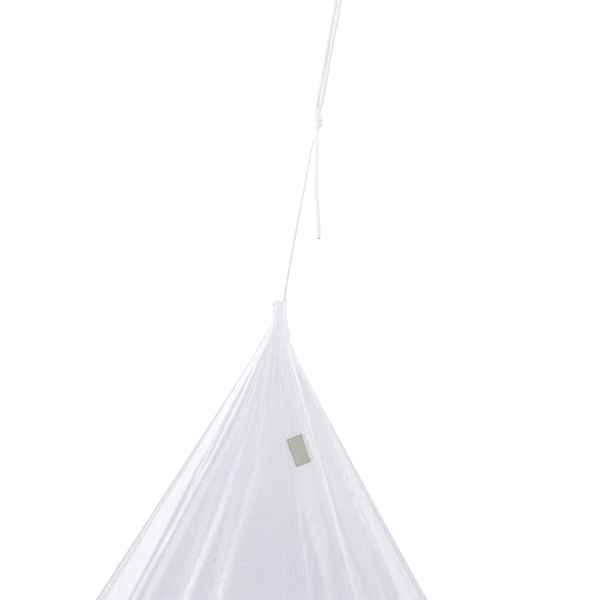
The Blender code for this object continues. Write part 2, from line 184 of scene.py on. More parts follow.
# Creases and doubled bands. Each has the ease of its left and right edges in
# degrees, its height in mm, and rows of (drop in mm, middle turn, half width, layers).
# The layers in these rows count cloth lying double, and also paint light and shade on the net:
# more where it shows lit, as on the left panel, and below 0 where it lies in shade.
CREASES = (
    # the gathered neck, down to where the cone opens
    (10.0, 14.0, 1.4, ((-20, 13.5, 6, 0.1), (24, 13.5, 6, 0.1), (54, 13.5, 6, 0.0))),
    (44.0, 20.0, 2.8, ((-20, 36, 14, 0.3), (10, 40, 14, 1.0), (24, 50, 14, 1.0),
                       (34, 57, 14, 1.0), (47, 60, 13, 0.9), (58, 60, 10, 0.0))),
    (2.4, 2.4, -0.35, ((-20, -1, 1.2, -0.5), (24, 0, 1.2, -0.5), (44, 0, 1.2, 0.0))),
    (5.0, 5.0, 0.7, ((-20, 32, 9, 0.5), (20, 32, 12, 5.0), (33, 40, 12, 5.0), (44, 48, 9, 4.6),
                     (57, 50, 6, 0.2), (62, 50, 6, 0.0))),
    (15.0, 4.0, 1.6, ((20, 46, 6, 0.0), (30, 47.5, 6, 1.0), (40, 49.5, 6, 1.6),
                      (48, 52, 6, 1.4), (58, 53, 6, 0.0))),
    (3.0, 3.0, -0.2, ((-20, -14, 3, 0.0), (18, -14, 3, -1.0), (40, -14, 3, -0.9),
                      (48, -14, 3, 0.0))),
    (5.0, 5.0, 0.0, ((60, -26, 14, 0.0), (75, -26, 14, 0.12), (102, -26, 14, 0.12),
                     (125, -26, 14, 0.0))),
    (3.0, 3.0, 0.0, ((50, 37, 4, 0.0), (62, 37, 4, -0.3), (90, 36, 4, -0.3), (108, 36, 4, 0.0))),
    (6.0, 8.0, 0.0, ((-20, -36, 18, 0.0), (12, -34, 22, -0.9), (28, -34, 22, -1.7),
                     (44, -35, 21, -1.4), (50, -34, 20, -0.5), (66, -34, 20, -0.3),
                     (80, -34, 20, 0.0))),
    (4.0, 3.0, 0.3, ((43, 17, 3, 0.0), (46, 18, 3, 1.0), (56, 22.5, 3, 1.5), (62, 23, 3, 1.0),
                     (70, 24, 3, 0.3), (120, 26, 3, 0.3), (170, 27, 3, 0.0))),
    (5.0, 5.0, 1.1, ((-20, 76, 7, 0.6), (15, 76, 7, 0.6), (34, 70, 6, 0.0))),
    (4.0, 9.0, 0.0, ((20, 74, 12, 0.0), (28, 74, 12, -1.6), (47, 74, 14, -1.9),
                     (55, 76, 14, 0.0))),
    # the bright left panel, wide above and narrower below; its extra layers are partly cloth seen
    # slantwise and partly painted light from the left softbox
    (5.0, 1.6, 0.0, ((10, -76, 20, 0.4), (35, -76, 21, 1.4), (60, -76, 22, 2.6),
                     (90, -74.5, 14, 3.3), (130, -73.4, 11.4, 3.6), (190, -72.3, 12.3, 2.8),
                     (220, -72.3, 12.3, 2.3), (260, -71.2, 13.8, 2.0), (280, -69.5, 13, 2.1),
                     (300, -65.3, 10.6, 1.9), (340, -63.0, 9.8, 1.8), (390, -61.5, 9.1, 1.6),
                     (700, -61.9, 8, 1.0), (1071, -61.9, 7, 0.5))),
    (3.0, 3.0, 0.0, ((280, -81, 4, 0.0), (306, -80.4, 5, -0.35), (340, -79.6, 5.5, -0.4),
                     (390, -78, 6, -0.4), (700, -77, 6, -0.2), (1071, -77, 6, 0.0))),
    (2.0, 2.0, 0.8, ((270, -70, 1.2, 0.0), (300, -69, 1.2, 0.4), (390, -67.5, 1.2, 0.6),
                     (700, -67.5, 1.2, 0.3), (1071, -67.5, 1.2, 0.0))),
    (1.6, 1.2, 0.8, ((270, -58, 1, 0.0), (300, -57, 1, 0.3), (390, -54.6, 0.9, 0.5),
                     (700, -54.6, 0.9, 0.3), (1071, -54.6, 0.9, 0.0))),
    # the first crease beside it, with its hollows
    (1.6, 1.6, 1.0, ((40, -57, 4, 0.0), (60, -56, 4, 1.6), (75, -54.6, 3.8, 3.4),
                     (90, -53, 3.2, 3.6), (130, -51, 2.6, 2.6), (160, -51, 2.2, 1.8),
                     (190, -50, 1.6, 1.6), (260, -50.2, 1.4, 1.9), (300, -49.3, 1.8, 2.1),
                     (340, -49.6, 1.4, 1.6), (390, -49.3, 1.4, 1.2), (700, -49.3, 1.4, 0.6),
                     (1071, -49.3, 1.4, 0.3))),
    (2.0, 2.0, -0.7, ((70, -59, 1.5, 0.0), (90, -58.6, 3, -0.6), (110, -58, 3.3, -0.9),
                      (125, -57.8, 2.8, -0.9), (137, -57.3, 1.7, -0.8), (152, -56.4, 1.2, -0.9),
                      (176, -54.2, 1.1, -1.0), (205, -51.9, 0.9, -0.9), (220, -51.2, 0.6, 0.0))),
    (1.0, 1.0, -0.8, ((184, -60.5, 0.6, 0.0), (200, -59.6, 0.9, -0.4), (228, -58.4, 1.1, -0.5),
                      (245, -56.2, 1.5, -0.4), (262, -54.2, 2.1, -0.3), (301, -52.7, 2, -0.3),
                      (345, -51.8, 1.4, -0.3), (390, -51.4, 1, -0.3), (700, -51.4, 1, -0.2),
                      (1071, -51.4, 1, 0.0))),
    (1.5, 1.5, 0.0, ((150, -59, 1.5, 0.0), (165, -58, 1.8, 0.7), (200, -56, 2.2, 1.1),
                     (220, -54.6, 2.2, 1.2), (240, -53, 1.4, 0.9), (256, -52.2, 0.8, 0.0))),
    # the second crease, that leans in towards the neck
    (1.2, 2.6, 0.6, ((100, -34, 2, 0.0), (120, -37, 2.2, 0.4), (145, -39.2, 2.2, 0.5),
                     (175, -41.8, 2, 0.4), (220, -44, 1.8, 0.8), (260, -44.9, 1.6, 1.0),
                     (300, -45, 1.6, 1.2), (340, -45, 1.3, 1.4), (390, -44.8, 1, 1.4),
                     (700, -44.8, 1, 0.8), (1071, -44.8, 1, 0.3))),
    (0.8, 0.8, -0.4, ((100, -45.6, 1.2, 0.0), (116, -45.8, 1.6, -0.2), (150, -46.3, 1, -0.25),
                      (165, -46.7, 0.4, -0.4), (230, -46.8, 0.4, -0.6), (300, -46.4, 0.4, -0.8),
                      (390, -46.0, 0.4, -0.8), (700, -46, 0.4, -0.4), (1071, -46, 0.4, 0.0))),
    (1.2, 1.2, 0.3, ((230, -48.4, 1, 0.0), (270, -48.2, 1, 0.35), (390, -47.6, 0.8, 0.4),
                     (700, -47.6, 0.8, 0.2), (1071, -47.6, 0.8, 0.0))),
    # the two soft folds left of the middle
    (2.2, 2.6, 0.5, ((165, -30, 2, 0.0), (190, -30, 2, 0.4), (220, -29.5, 2, 0.8),
                     (260, -28.6, 2, 1.3), (300, -28.8, 2, 1.5), (340, -28.9, 1.7, 1.6),
                     (390, -28.9, 1.6, 1.5), (700, -29.3, 1.7, 0.9), (1071, -29.3, 1.7, 0.3))),
    (3.2, 8.0, 0.4, ((120, -11, 3, 0.0), (190, -11.6, 3, 0.4), (220, -13, 2.4, 0.8),
                     (260, -14.3, 1.9, 1.1), (300, -15.4, 1.2, 1.4), (340, -15.8, 1.1, 1.4),
                     (390, -16, 1, 1.6), (700, -16, 1, 0.8), (1071, -16, 1, 0.3))),
    # the two narrow folds right of the middle
    (1.8, 1.8, 0.6, ((235, 18.3, 0.8, 0.0), (260, 18.8, 0.9, 0.7), (300, 19.7, 0.8, 0.8),
                     (390, 20.2, 0.7, 0.7), (700, 20.2, 0.8, 0.5), (1071, 20.2, 0.8, 0.2))),
    (2.0, 2.0, -0.2, ((280, 24, 1.2, 0.0), (340, 24, 1.2, -0.15), (390, 23.8, 1.2, -0.2),
                      (700, 23.8, 1.2, -0.1), (1071, 23.8, 1.2, 0.0))),
    (3.6, 4.4, 0.6, ((186, 24, 8, 0.0), (212, 25.5, 7, 0.55), (260, 27, 5.4, 0.7),
                     (300, 28, 4.2, 0.8), (340, 28.5, 1.4, 0.9), (390, 28.6, 0.9, 0.9),
                     (700, 28.6, 0.9, 0.6), (1071, 28.6, 0.9, 0.2))),
    # right of the seam
    (3.0, 2.0, 0.0, ((100, 50, 7, 0.0), (130, 50, 7, 0.35), (190, 50, 7, 0.6), (260, 50, 6.5, 0.8),
                     (340, 50, 5.5, 0.4), (390, 50, 5, 0.15), (700, 50, 5, 0.0))),
    (2.5, 2.5, 0.7, ((280, 50, 1.2, 0.0), (340, 49.4, 1, 0.4), (390, 49.2, 1, 0.6),
                     (700, 49.2, 1, 0.4), (1071, 49.2, 1, 0.2))),
    (3.0, 3.0, 0.0, ((25, 74, 24, 0.0), (45, 74, 24, 0.3), (60, 75, 22, 1.2), (75, 75, 21, 1.6),
                     (95, 76, 19, 1.0), (110, 78, 17, 0.0), (130, 79, 16, -0.35),
                     (150, 79, 16, -0.55), (170, 82, 11.5, -0.15), (190, 84, 12.5, 0.1),
                     (220, 85, 13, 0.25), (260, 85, 13, 0.45), (300, 85, 12, 0.35),
                     (340, 85, 12, 0.2), (390, 85, 12, 0.1), (1071, 85, 12, 0.0))),
    (2.5, 3.0, 0.0, ((40, 60, 9, 0.0), (60, 61, 9, 1.0), (75, 62, 8, 1.4), (110, 64, 5.8, 1.8),
                     (150, 65, 5.6, 1.6), (165, 66, 5, 0.7), (175, 66, 4, 0.0))),
    (1.6, 1.6, 0.8, ((150, 62, 4.6, 0.0), (165, 62, 4.7, 2.0), (220, 62.8, 5, 2.2),
                     (260, 63.6, 5.3, 2.0), (300, 63.9, 6.0, 1.8), (340, 64.2, 7, 1.5),
                     (390, 64.8, 7.6, 1.3), (700, 64.8, 7.6, 0.8), (1071, 64.8, 7.6, 0.4))),
    (1.2, 2.0, 0.5, ((240, 59.5, 0.8, 0.0), (300, 59.2, 0.8, 0.3), (390, 58.6, 0.7, 0.4),
                     (700, 58.6, 0.7, 0.2), (1071, 58.6, 0.7, 0.0))),
    (2.0, 1.2, 0.5, ((260, 68, 0.8, 0.0), (300, 68.5, 0.8, 0.3), (390, 70.3, 0.8, 0.5),
                     (700, 70.3, 0.8, 0.3), (1071, 70.3, 0.8, 0.0))),
    # the cloth that turns away at either side
    (1.6, 1.6, 0.0, ((150, 88.5, 1.5, 0.0), (190, 88.5, 1.8, 0.8), (260, 88.5, 1.6, 1.8),
                     (300, 88.5, 1.6, 1.9), (330, 88.6, 1.4, 1.0), (356, 88.8, 1.2, 0.0),
                     (400, 88.8, 1.2, 0.0))),
    (1.6, 1.6, 0.0, ((200, -88.6, 1.6, 0.0), (250, -88.6, 1.6, 1.4), (390, -88.6, 1.6, 1.4),
                     (700, -88.6, 1.6, 0.0))),
    # bands behind, that lie across from those in front
    (2.0, 1.2, 1.2, ((120, 115, 4, 0.0), (260, 116, 5, 0.9), (1071, 116, 5, 0.5))),
    (1.4, 3.0, 1.0, ((150, 140, 2, 0.0), (300, 141, 2, 0.9), (1071, 142, 2, 0.4))),
    (2.0, 2.0, 1.0, ((180, 195.5, 2, 0.0), (320, 196, 2, 0.7), (1071, 196, 3, 0.5))),
    (3.0, 1.4, 1.0, ((180, 209, 2, 0.0), (320, 209, 2, 0.8), (1071, 208, 3, 0.4))),
    (1.4, 2.0, 1.2, ((100, 238, 5, 0.0), (260, 240, 6, 1.0), (1071, 240, 6, 0.5))),
)
# Small creases placed by a seeded draw: short pleats by the neck, and long ones below.
# Their layers follow their height: cloth bunched in the pleats, with painted light on raised ones
# and painted shade, as fewer layers, in sunk ones.
DRAWN_CREASES = (
    # count, least and most of: half_width, height, start drop, end drop; layers for each mm
    (44, (3.0, 4.4), (-0.25 * MM, 0.65 * MM), (14 * MM, 44 * MM), (86 * MM, 120 * MM), 1.3),
    (60, (1.9, 2.8), (0.2 * MM, 0.7 * MM), (44 * MM, 56 * MM), (90 * MM, 150 * MM), 1.9),
    (70, (1.3, 2.2), (-0.3 * MM, 0.5 * MM), (70 * MM, 100 * MM), (150 * MM, 240 * MM), 1.2),
    (48, (0.7, 1.6), (-0.35 * MM, 0.45 * MM), (110 * MM, 260 * MM), (360 * MM, 1000 * MM), 0.3),
    (40, (1.8, 4.2), (-1.5 * MM, 4.5 * MM), (395 * MM, 520 * MM), (1100 * MM, 1400 * MM), 0.26),
)
CREASE_SEED = 31
CREASE_JITTER = 0.45  # share of the space between two creases
CREASE_EASE = 0.35  # share of a crease's length over which it comes and goes
GATHERED = (
    # drop in mm, layers where the gathered cloth lies closer than one
    (0, 4.2), (30, 3.5), (40, 2.8), (44, 2.4), (45.6, 2.9), (47, 2.2), (60, 1.85), (75, 1.4),
    (90, 1.4), (110, 1.42), (130, 1.5), (190, 1.42), (260, 1.25), (340, 1.12), (1071, 1.0),
)

# The lapped seam, measured leftwards from its folded edge on the right.
SEAM_PATH = (
    # drop in mm, turn
    (0, 38), (25, 44), (32, 49), (40, 54), (47, 56), (55, 54), (64, 51.5), (75, 50), (90, 47.8),
    (110, 45.6), (130, 43.4), (160, 41.6), (190, 40.6), (260, 40), (300, 39.2), (340, 38.9),
    (390, 38.6), (1071, 38.6),
)
SEAM_RIDGE = (
    # distance left of the folded edge, lift off the net, share of its full layers
    (-1.9 * MM, 0.10 * MM, 0.2),
    (-1.6 * MM, 0.50 * MM, 0.8),
    (-1.0 * MM, 1.20 * MM, 1.0),
    (-0.2 * MM, 1.50 * MM, 1.0),
    (0.7 * MM, 1.30 * MM, 1.0),
    (1.5 * MM, 0.80 * MM, 0.8),
    (2.1 * MM, 0.55 * MM, 0.2),
)
SEAM_CLOTH = (
    # drop in mm, layers of cloth in the folded ridge
    (0, 14.0), (62, 14.0), (80, 7.0), (110, 4.4), (160, 3.6), (190, 3.2), (230, 2.6),
    (260, 2.0), (300, 1.4), (390, 1.2), (1071, 1.1),
)
SEAM_LAP = (
    # drop in mm, width of the lap from the folded edge to its stitched edge in mm, layers
    (0, 3.5, 0.6), (45, 6.5, 1.2), (60, 8.0, 1.2), (75, 9.0, 0.5), (90, 11, 0.3), (110, 12, 0.4),
    (130, 11.4, 0.5), (160, 12.4, 0.4), (166, 14.0, 0.5), (169.0, 14.7, 0.7),
    (171.5, 14.5, 4.4), (190, 13.8, 4.4), (204, 13.1, 4.4), (207.5, 12.9, 0.7),
    (216, 12.4, 0.5), (242, 11.2, 0.5), (263, 9.6, 0.4), (278, 8, 0.3), (330, 7.5, 0.1),
    (1071, 7.5, 0.1),
)
LAP_LIFT = 0.55 * MM
LAP_PROFILE = (
    # share of the lap's width, lift off its start, share of its layers away from the label
    (0.5, 0.0, 1.0),
    (0.90, 0.05 * MM, 1.0),
    (0.95, 0.1 * MM, 2.6),
    (1.0, 0.0, 1.0),
)
NARROW_LAP = 6 * MM  # a lap narrower than this draws its ridge in
# Where the label is caught, the lap rides up: height, half of the stretch as a share of the
# label's height, and steepness of its ends.
LABEL_RISE, LABEL_RISE_REACH, LABEL_RISE_SLOPE = 1.9 * MM, 0.78, 4.0
SEAM_ENDS, SEAM_ROW_SPACING = (1.5 * MM, LENGTH - 1 * MM), 3.0 * MM
STITCH_LENGTH, STITCH_WIDTH, STITCH_HEIGHT = 2.6 * MM, 0.6 * MM, 0.5 * MM
STITCH_GRIP = 0.4 * MM  # either side of a stitch, where the way the cloth faces is felt
SEAM_SEWN = (12 * MM, LENGTH - 4 * MM)  # from drop, to drop
SEAM_STITCHES = (0.93, LAP_LIFT + 0.45 * MM, 4.2 * MM)  # share of the lap, lift, spacing
HEM_STITCHES = (LENGTH - HEM_DEPTH + 2 * MM, 0.25 * MM, 5.0 * MM)  # drop, lift, spacing
CASING_STITCHES = (CASING_DEPTH + 1.4 * MM, 0.7 * MM, 3.1 * MM, 3.0 * MM)  # and arch
ARCH = (-5.0, 60.0)  # turn and half_width of the arch in the casing's row of stitches
FIN = (34 * MM, 86 * MM, 1.1 * MM)  # from drop, to drop, width of the cut edge on the left
FIN_STEP, FIN_ROOT = 1.3 * MM, 0.4 * MM  # between its rows, and how deep it starts
FIN_EASES = (6 * MM, 10 * MM)  # over which it comes and goes
FIN_RIPPLE = (0.2, 1.7)  # share of its width, and radians from row to row
FIN_LAYERS = (5.0, 3.0, 3.0)
FIN_DARK = (7, (2, 3), 74 * MM)  # of so many stitches, the dark ones, and down to this drop
THREAD_END = (-19.3 * MM, 271 * MM, 1.7 * MM)  # across, drop, radius of the loop of thread
THREAD_RADIUS, THREAD_TURN = 0.2 * MM, (78, 0, 20)  # degrees
LINT = (-165.8 * MM, 332.0 * MM, 1.1 * MM)  # across, drop, radius of the speck of fluff
LINT_SEED, LINT_LUMPS, LINT_FLATNESS = 4, (0.6, 1.15), 0.5
THREAD_STAND_OFF, LINT_STAND_OFF = 1.3 * MM, 1.4 * MM
# The tuft of cut threads: how many, drop of the first and step to the next, middle turn and
# how far a thread may lie from it, and how far it may stand off.
TUFT_SEED, TUFT_COUNT = 9, 16
TUFT_DROP, TUFT_STEP, TUFT_TURN = 2.2, 0.32, -96.0  # mm, mm and degrees
TUFT_SPREAD, TUFT_OUT = (-14.0, 10.0), (0.1, 1.1)  # degrees, and mm
TUFT_DEPTHS, TUFT_FALLS = (-0.5, 0.3), (-0.9, 0.9)  # of a thread's direction
MOUTH_KNOT = ((11.6 * MM, -74.0), (12.6 * MM, -72.0), (4.6 * MM, -88.0))  # drop, turn
MOUTH_KNOT_LIE, KNOT_STAND_OFF = (0.2, 0.0, 1.0), 0.5 * MM
FRONTWARDS, TUFT_FACING = (0.0, -1.0, 0.0), (0.0, -1.0, 0.2)

# The label, one strip folded double.
LABEL_PLY = 0.34 * MM
LABEL_THICKNESS = 0.22 * MM
LABEL_CURL = 0.7 * MM  # how far the free corners stand off
LABEL_BULGE = 0.25 * MM  # of its middle
LABEL_SWAY = (0.25 * MM, 9.0)  # of its folded edge: height, and radians from top to foot
LABEL_RIM = (0.90, 0.08)  # share of the way out where its turned edge starts, and its ease
LABEL_GRID = (30, 40)  # columns for each of its two plies, and rows

# The knot: the wrapping strand goes on as the thin cord, the straight one as the free end.
KNOT_STRAND, KNOT_HEART = 5.1 * MM, 8.0 * MM
WRAPPING_STRAND = (
    # across, depth, height in mm
    (-33.9, 2.3, -181.8), (-34.2, 2.4, -183.6), (-35.2, 1.8, -186.2), (-36.1, -0.8, -189.6),
    (-34.9, -3.8, -191.8), (-31.4, -4.7, -193.6), (-28.8, -2.6, -195.0), (-29.2, 1.8, -196.0),
    (-32.6, 4.1, -195.6), (-35.8, 2.4, -194.8), (-36.8, -0.8, -194.8), (-35.2, -3.8, -196.2),
    (-32.2, -4.6, -198.4), (-30.2, -2.6, -200.4), (-30.8, 0.8, -202.0), (-33.4, 2.4, -204.0),
    (-35.8, 2.2, -206.6), (-36.6, 2.0, -207.9),
)
STRAIGHT_STRAND = (
    # across, depth, height in mm
    (-31.4, -2.3, -181.8), (-31.8, -2.4, -183.2), (-32.4, -2.2, -186.6), (-33.0, -0.6, -191.0),
    (-33.2, 0.0, -196.0), (-33.6, -0.8, -201.0), (-34.0, -1.8, -204.6), (-34.5, -2.4, -207.8),
)
HEART = (
    # across, depth, height in mm
    (-33.2, -1.0, -188.4), (-32.4, -1.5, -193.0), (-32.0, -1.6, -197.4), (-32.8, -1.6, -201.4),
    (-33.8, -1.2, -204.6),
)

# The plait of the cord.
PLAIT_STRANDS = 4  # that wind each way round
PLAIT_RELIEF = 0.12  # share of the cord's radius
PLAIT_MIDDLE = 0.6  # height of the plait that lies at the cord's own radius
TAUT_LAY = 1.35  # how far the taut cord's lay is drawn out
CORD_SIDES, TAUT_CORD_SIDES = 24, 20
CORD_SPACING, KNOT_SPACING = 0.6 * MM, 0.5 * MM  # between rings of points
CURVE_STEPS, BIGHT_STEP = 24, 30  # steps from point to point, and degrees round the bight
TIP_LENGTH, TIP_TAPER = 5.5 * MM, 0.5
# How much greyer each run is made, at its start and end; below 0 it lifts the painted shade of the
# plait's hollows.
LOOP_GREY, TAUT_GREY, TAIL_GREY, KNOT_GREY = (0.2, 0.5), (-0.2, 1.3), (-0.1, 0.2), (0.2, 0.2)

# The studio: the camera looks level along +Y at a window of this size.
VIEW_CENTRE = (-56.55 * MM, -429.0 * MM)  # across and height
VIEW_WIDTH = 0.780
CAMERA_DISTANCE, VIEW_END = 10.0, 100.0
SENSOR = 36.0  # mm
FLOOR_RADIUS, FLOOR_CLEARANCE, FLOOR_SIDES = 3.0, 60 * MM, 96
BACKDROP_WHITE = 1.1
SOFTBOXES = (
    # name, azimuth from the front, elevation, the setting that holds its power
    ("softbox_left", -62.0, 22.0, "left_power"),
    ("softbox_right", 74.0, 15.0, "right_power"),
)
SOFTBOX_DISTANCE, SOFTBOX_SIZE = 4.0, 1.8
NET_LAYERS_SEEN = 48  # surfaces of net that a ray may pass


# ---------------------------------------------------------------- settings


class CanopyNetSettings(bpy.types.PropertyGroup):
    cloth_colour: bpy.props.FloatVectorProperty(
        name="Cloth colour", description="Colour of the mesh cloth's threads",
        subtype="COLOR", size=3, min=0.0, max=1.0, default=(0.92, 0.925, 0.98))
    hole_pitch: bpy.props.FloatProperty(
        name="Hole pitch", description="Distance from one hole of the mesh to the next",
        unit="LENGTH", default=0.76 * MM, min=0.5 * MM, max=8 * MM)
    thread_cover: bpy.props.FloatProperty(
        name="Thread cover", description="Share of one layer's area that is thread",
        subtype="FACTOR", default=0.30, min=0.1, max=0.9)
    glow: bpy.props.FloatProperty(
        name="Glow", description="Share of the light that goes through a thread",
        subtype="FACTOR", default=0.25, min=0.0, max=0.9)


class CanopyLabelSettings(bpy.types.PropertyGroup):
    ground_colour: bpy.props.FloatVectorProperty(
        name="Label colour", description="Colour of the woven label",
        subtype="COLOR", size=3, min=0.0, max=1.0, default=(0.508, 0.484, 0.449))
    edge_colour: bpy.props.FloatVectorProperty(
        name="Edge colour", description="Colour of the label's turned edges",
        subtype="COLOR", size=3, min=0.0, max=1.0, default=(0.33, 0.31, 0.28))
    rib_pitch: bpy.props.FloatProperty(
        name="Rib pitch", description="Distance between the label's woven ribs",
        unit="LENGTH", default=0.55 * MM, min=0.2 * MM, max=3 * MM)


class CanopyCordSettings(bpy.types.PropertyGroup):
    cord_colour: bpy.props.FloatVectorProperty(
        name="Cord colour", description="Colour of the plaited cord",
        subtype="COLOR", size=3, min=0.0, max=1.0, default=(0.86, 0.86, 0.87))
    tip_colour: bpy.props.FloatVectorProperty(
        name="Tip colour", description="Colour of the cord's scorched cut end",
        subtype="COLOR", size=3, min=0.0, max=1.0, default=(0.36, 0.33, 0.27))
    plait_lay: bpy.props.FloatProperty(
        name="Plait lay", description="Length of cord in which a strand goes once round",
        unit="LENGTH", default=19 * MM, min=5 * MM, max=80 * MM)


class CanopyStudioSettings(bpy.types.PropertyGroup):
    ambient: bpy.props.FloatProperty(
        name="Ambient light", description="Brightness of the light from all round",
        default=0.89, min=0.0, max=3.0)
    left_power: bpy.props.FloatProperty(
        name="Left softbox", description="Power of the softbox on the left", unit="POWER",
        default=52.0, min=0.0, max=1000.0)
    right_power: bpy.props.FloatProperty(
        name="Right softbox", description="Power of the softbox on the right", unit="POWER",
        default=24.0, min=0.0, max=1000.0)
    veil_colour: bpy.props.FloatVectorProperty(
        name="Backdrop through the net", description="Backdrop as it shows through the holes",
        subtype="COLOR", size=3, min=0.0, max=1.0, default=(0.41, 0.417, 0.462))
    floor_veil_colour: bpy.props.FloatVectorProperty(
        name="Floor through the net", description="Floor as it shows through the holes",
        subtype="COLOR", size=3, min=0.0, max=1.0, default=(0.335, 0.34, 0.377))
    floor_colour: bpy.props.FloatVectorProperty(
        name="Floor colour", description="Colour of the pale floor",
        subtype="COLOR", size=3, min=0.0, max=1.0, default=(0.86, 0.86, 0.86))


# ---------------------------------------------------------------- helpers

WHITEST = 0.97  # no cloth or cord is whiter


def smooth_between(share):
    """0 below 0, 1 above 1, with an easy start and end."""
    share = np.clip(share, 0.0, 1.0)
    return share * share * (3.0 - 2.0 * share)


def bump_at(off):
    """1 in the middle of a fold, falling to 0 at off = -1 and 1."""
    return np.where(np.abs(off) < 1.0, 0.5 * (1.0 + np.cos(np.pi * np.clip(off, -1, 1))), 0.0)


def turn_from(start, turn):
    """How far turn is from start, between -180 and 180 degrees."""
    return (turn - start + 180.0) % 360.0 - 180.0


def feed(tree, socket, value):
    """Link a socket to an output, or set it to a number, a vector or a colour."""
    if isinstance(value, bpy.types.NodeSocket):
        tree.links.new(value, socket)
    elif socket.type == "RGBA":
        socket.default_value = (*value, 1.0)
    else:
        socket.default_value = value


def add_node(tree, kind, settings=None, inputs=None):
    """A node with its own settings and what goes into its sockets."""
    made = tree.nodes.new(kind)
    for name, value in (settings or {}).items():
        setattr(made, name, value)
    for name, value in (inputs or {}).items():
        feed(tree, made.inputs[name], value)
    return made


def maths(tree, operation, first, second=None):
    """The result of a Math node on sockets or numbers."""
    made = add_node(tree, "ShaderNodeMath", {"operation": operation})
    for socket, value in zip(made.inputs, (first, second)):
        if value is not None:
            feed(tree, socket, value)
    return made.outputs[0]


def mix_colours(tree, share, first, second, blend="MIX"):
    """The colour that goes from the first to the second as share goes from 0 to 1."""
    made = add_node(tree, "ShaderNodeMix", {"data_type": "RGBA", "blend_type": blend},
                    {"Factor": share, "A": first, "B": second})
    return made.outputs["Result"]


def shade_of(colour, factor):
    """A colour made darker or lighter, short of pure white."""
    return [min(channel * factor, WHITEST) for channel in colour]


def cloth_place(tree):
    """Where on the flat cloth a point lies, in metres."""
    return add_node(tree, "ShaderNodeUVMap", {"uv_map": "cloth"}).outputs["UV"]


def number_on(tree, name):
    """A number that the mesh's points carry."""
    return add_node(tree, "ShaderNodeAttribute", {"attribute_name": name}).outputs["Fac"]


def relief_from(tree, height, strength, distance):
    """The normal of a surface with a fine relief."""
    made = add_node(tree, "ShaderNodeBump", {},
                    {"Strength": strength, "Distance": distance, "Height": height})
    return made.outputs[0]


def new_material(name):
    """A material with an empty tree: (material, tree)."""
    material = bpy.data.materials.new(name)
    material.use_nodes = True
    material.node_tree.nodes.clear()
    return material, material.node_tree


def finish_tree(tree, shader, output="ShaderNodeOutputMaterial"):
    """Lead a tree's last shader to its output."""
    tree.links.new(shader.outputs[0], add_node(tree, output).inputs["Surface"])


def add_piece(name, points, faces, material, uvs=None, numbers=None):
    """A mesh piece in the row frame that rides on the root body."""
    mesh = bpy.data.meshes.new(name)
    mesh.from_pydata([tuple(point) for point in points], [], faces)
    if uvs is not None:
        layer = mesh.uv_layers.new(name="cloth")
        layer.data.foreach_set("uv", np.asarray(uvs, np.float32).ravel())
    for label, values in (numbers or {}).items():
        attribute = mesh.attributes.new(label, "FLOAT", "POINT")
        attribute.data.foreach_set("value", np.asarray(values, np.float32))
    mesh.shade_smooth()
    mesh.materials.append(material)
    made = bpy.data.objects.new(name, mesh)
    bpy.context.collection.objects.link(made)
    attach(made, "root")
    return made


def grid_faces(rows, columns, closed):
    """Quads of a grid of points that runs down row by row, facing its near side."""
    last = columns if closed else columns - 1
    row = np.repeat(np.arange(rows - 1), last)
    here = np.tile(np.arange(last), rows - 1)
    there = (here + 1) % columns
    corners = (row * columns + here, (row + 1) * columns + here,
               (row + 1) * columns + there, row * columns + there)
    return np.stack(corners, 1).tolist()


def grid_uvs(uv):
    """Loop UVs for grid_faces, from a grid of UVs with a column more if the grid is closed."""
    corners = (uv[:-1, :-1], uv[1:, :-1], uv[1:, 1:], uv[:-1, 1:])
    return np.stack(corners, 2).reshape(-1, 2)


def pick(piece):
    """Select one piece alone."""
    bpy.ops.object.select_all(action="DESELECT")
    piece.select_set(True)
    bpy.context.view_layer.objects.active = piece


# ---------------------------------------------------------------- the net's shape


def reach(drop, slope, bend, ease):
    """Distance from the axis to the net's side, bending out of the neck at this drop."""
    return NECK_RADIUS + slope * ease * float(np.logaddexp(0.0, (drop - bend) / ease))


def twist_at(turns, drop):
    """How far a fold has turned here, against where it is at the hem."""
    free = smooth_between(np.abs(turn_from(SEAM_TURN, turns)) / SEAM_HOLD)
    return free * TWIST * max(0.0, math.log(TWIST_END / (max(drop, 0.0) + 2 * NECK_RADIUS)))


def panel_radius(turns):
    """Radius of the round, as 1 at the corners and less where the cloth is drawn flat."""
    radius = np.ones_like(turns)
    for i, (corner, flatness) in enumerate(PANELS):
        width = (PANELS[(i + 1) % len(PANELS)][0] - corner) % 360.0
        along = (turns - corner) % 360.0
        chord = math.cos(math.radians(width / 2)) / np.cos(np.radians(along - width / 2))
        radius = np.where(along <= width, 1.0 - flatness * (1.0 - chord), radius)
    return radius


def fold_height(turns, drop):
    """Height of the large folds, as a share of the radius."""
    height = np.zeros_like(turns)
    for crest, half_width, rise, start in FOLDS:
        grown = smooth_between((drop - start * MM) / FOLD_GROWTH)
        height += rise * grown * bump_at(turn_from(crest, turns) / half_width)
    return height


def gather_height(turns, drop):
    """Height of the neck's gathers and of its flared mouth, as a share of the radius."""
    waves = sum(height * np.cos(np.radians(count * turns + phase))
                for count, height, phase in GATHERS)
    mouth = MOUTH_FLARE * smooth_between(1.0 - drop / MOUTH_DEPTH)
    return waves * math.exp(-((drop / GATHER_FADE) ** 2)) + mouth


def round_shape(turns, drop):
    """The ring at a drop as (across, depth) for a radius of 1, and its outward angles."""
    settled = smooth_between(drop / PANELS_SETTLE)
    radius = 1.0 + settled * (panel_radius(turns) - 1.0 + fold_height(turns, drop))
    radius += gather_height(turns, drop)
    angle = np.radians(turns + twist_at(turns, drop))
    return radius * np.sin(angle), -radius * np.cos(angle), angle


@functools.lru_cache(maxsize=None)
def ring_ends(drop):
    """The least and greatest across of the unit ring, and the turn of the least."""
    turns = np.arange(0.0, 360.0, 0.5)
    across, _, _ = round_shape(turns, drop)
    return float(across.min()), float(across.max()), float(turns[across.argmin()])


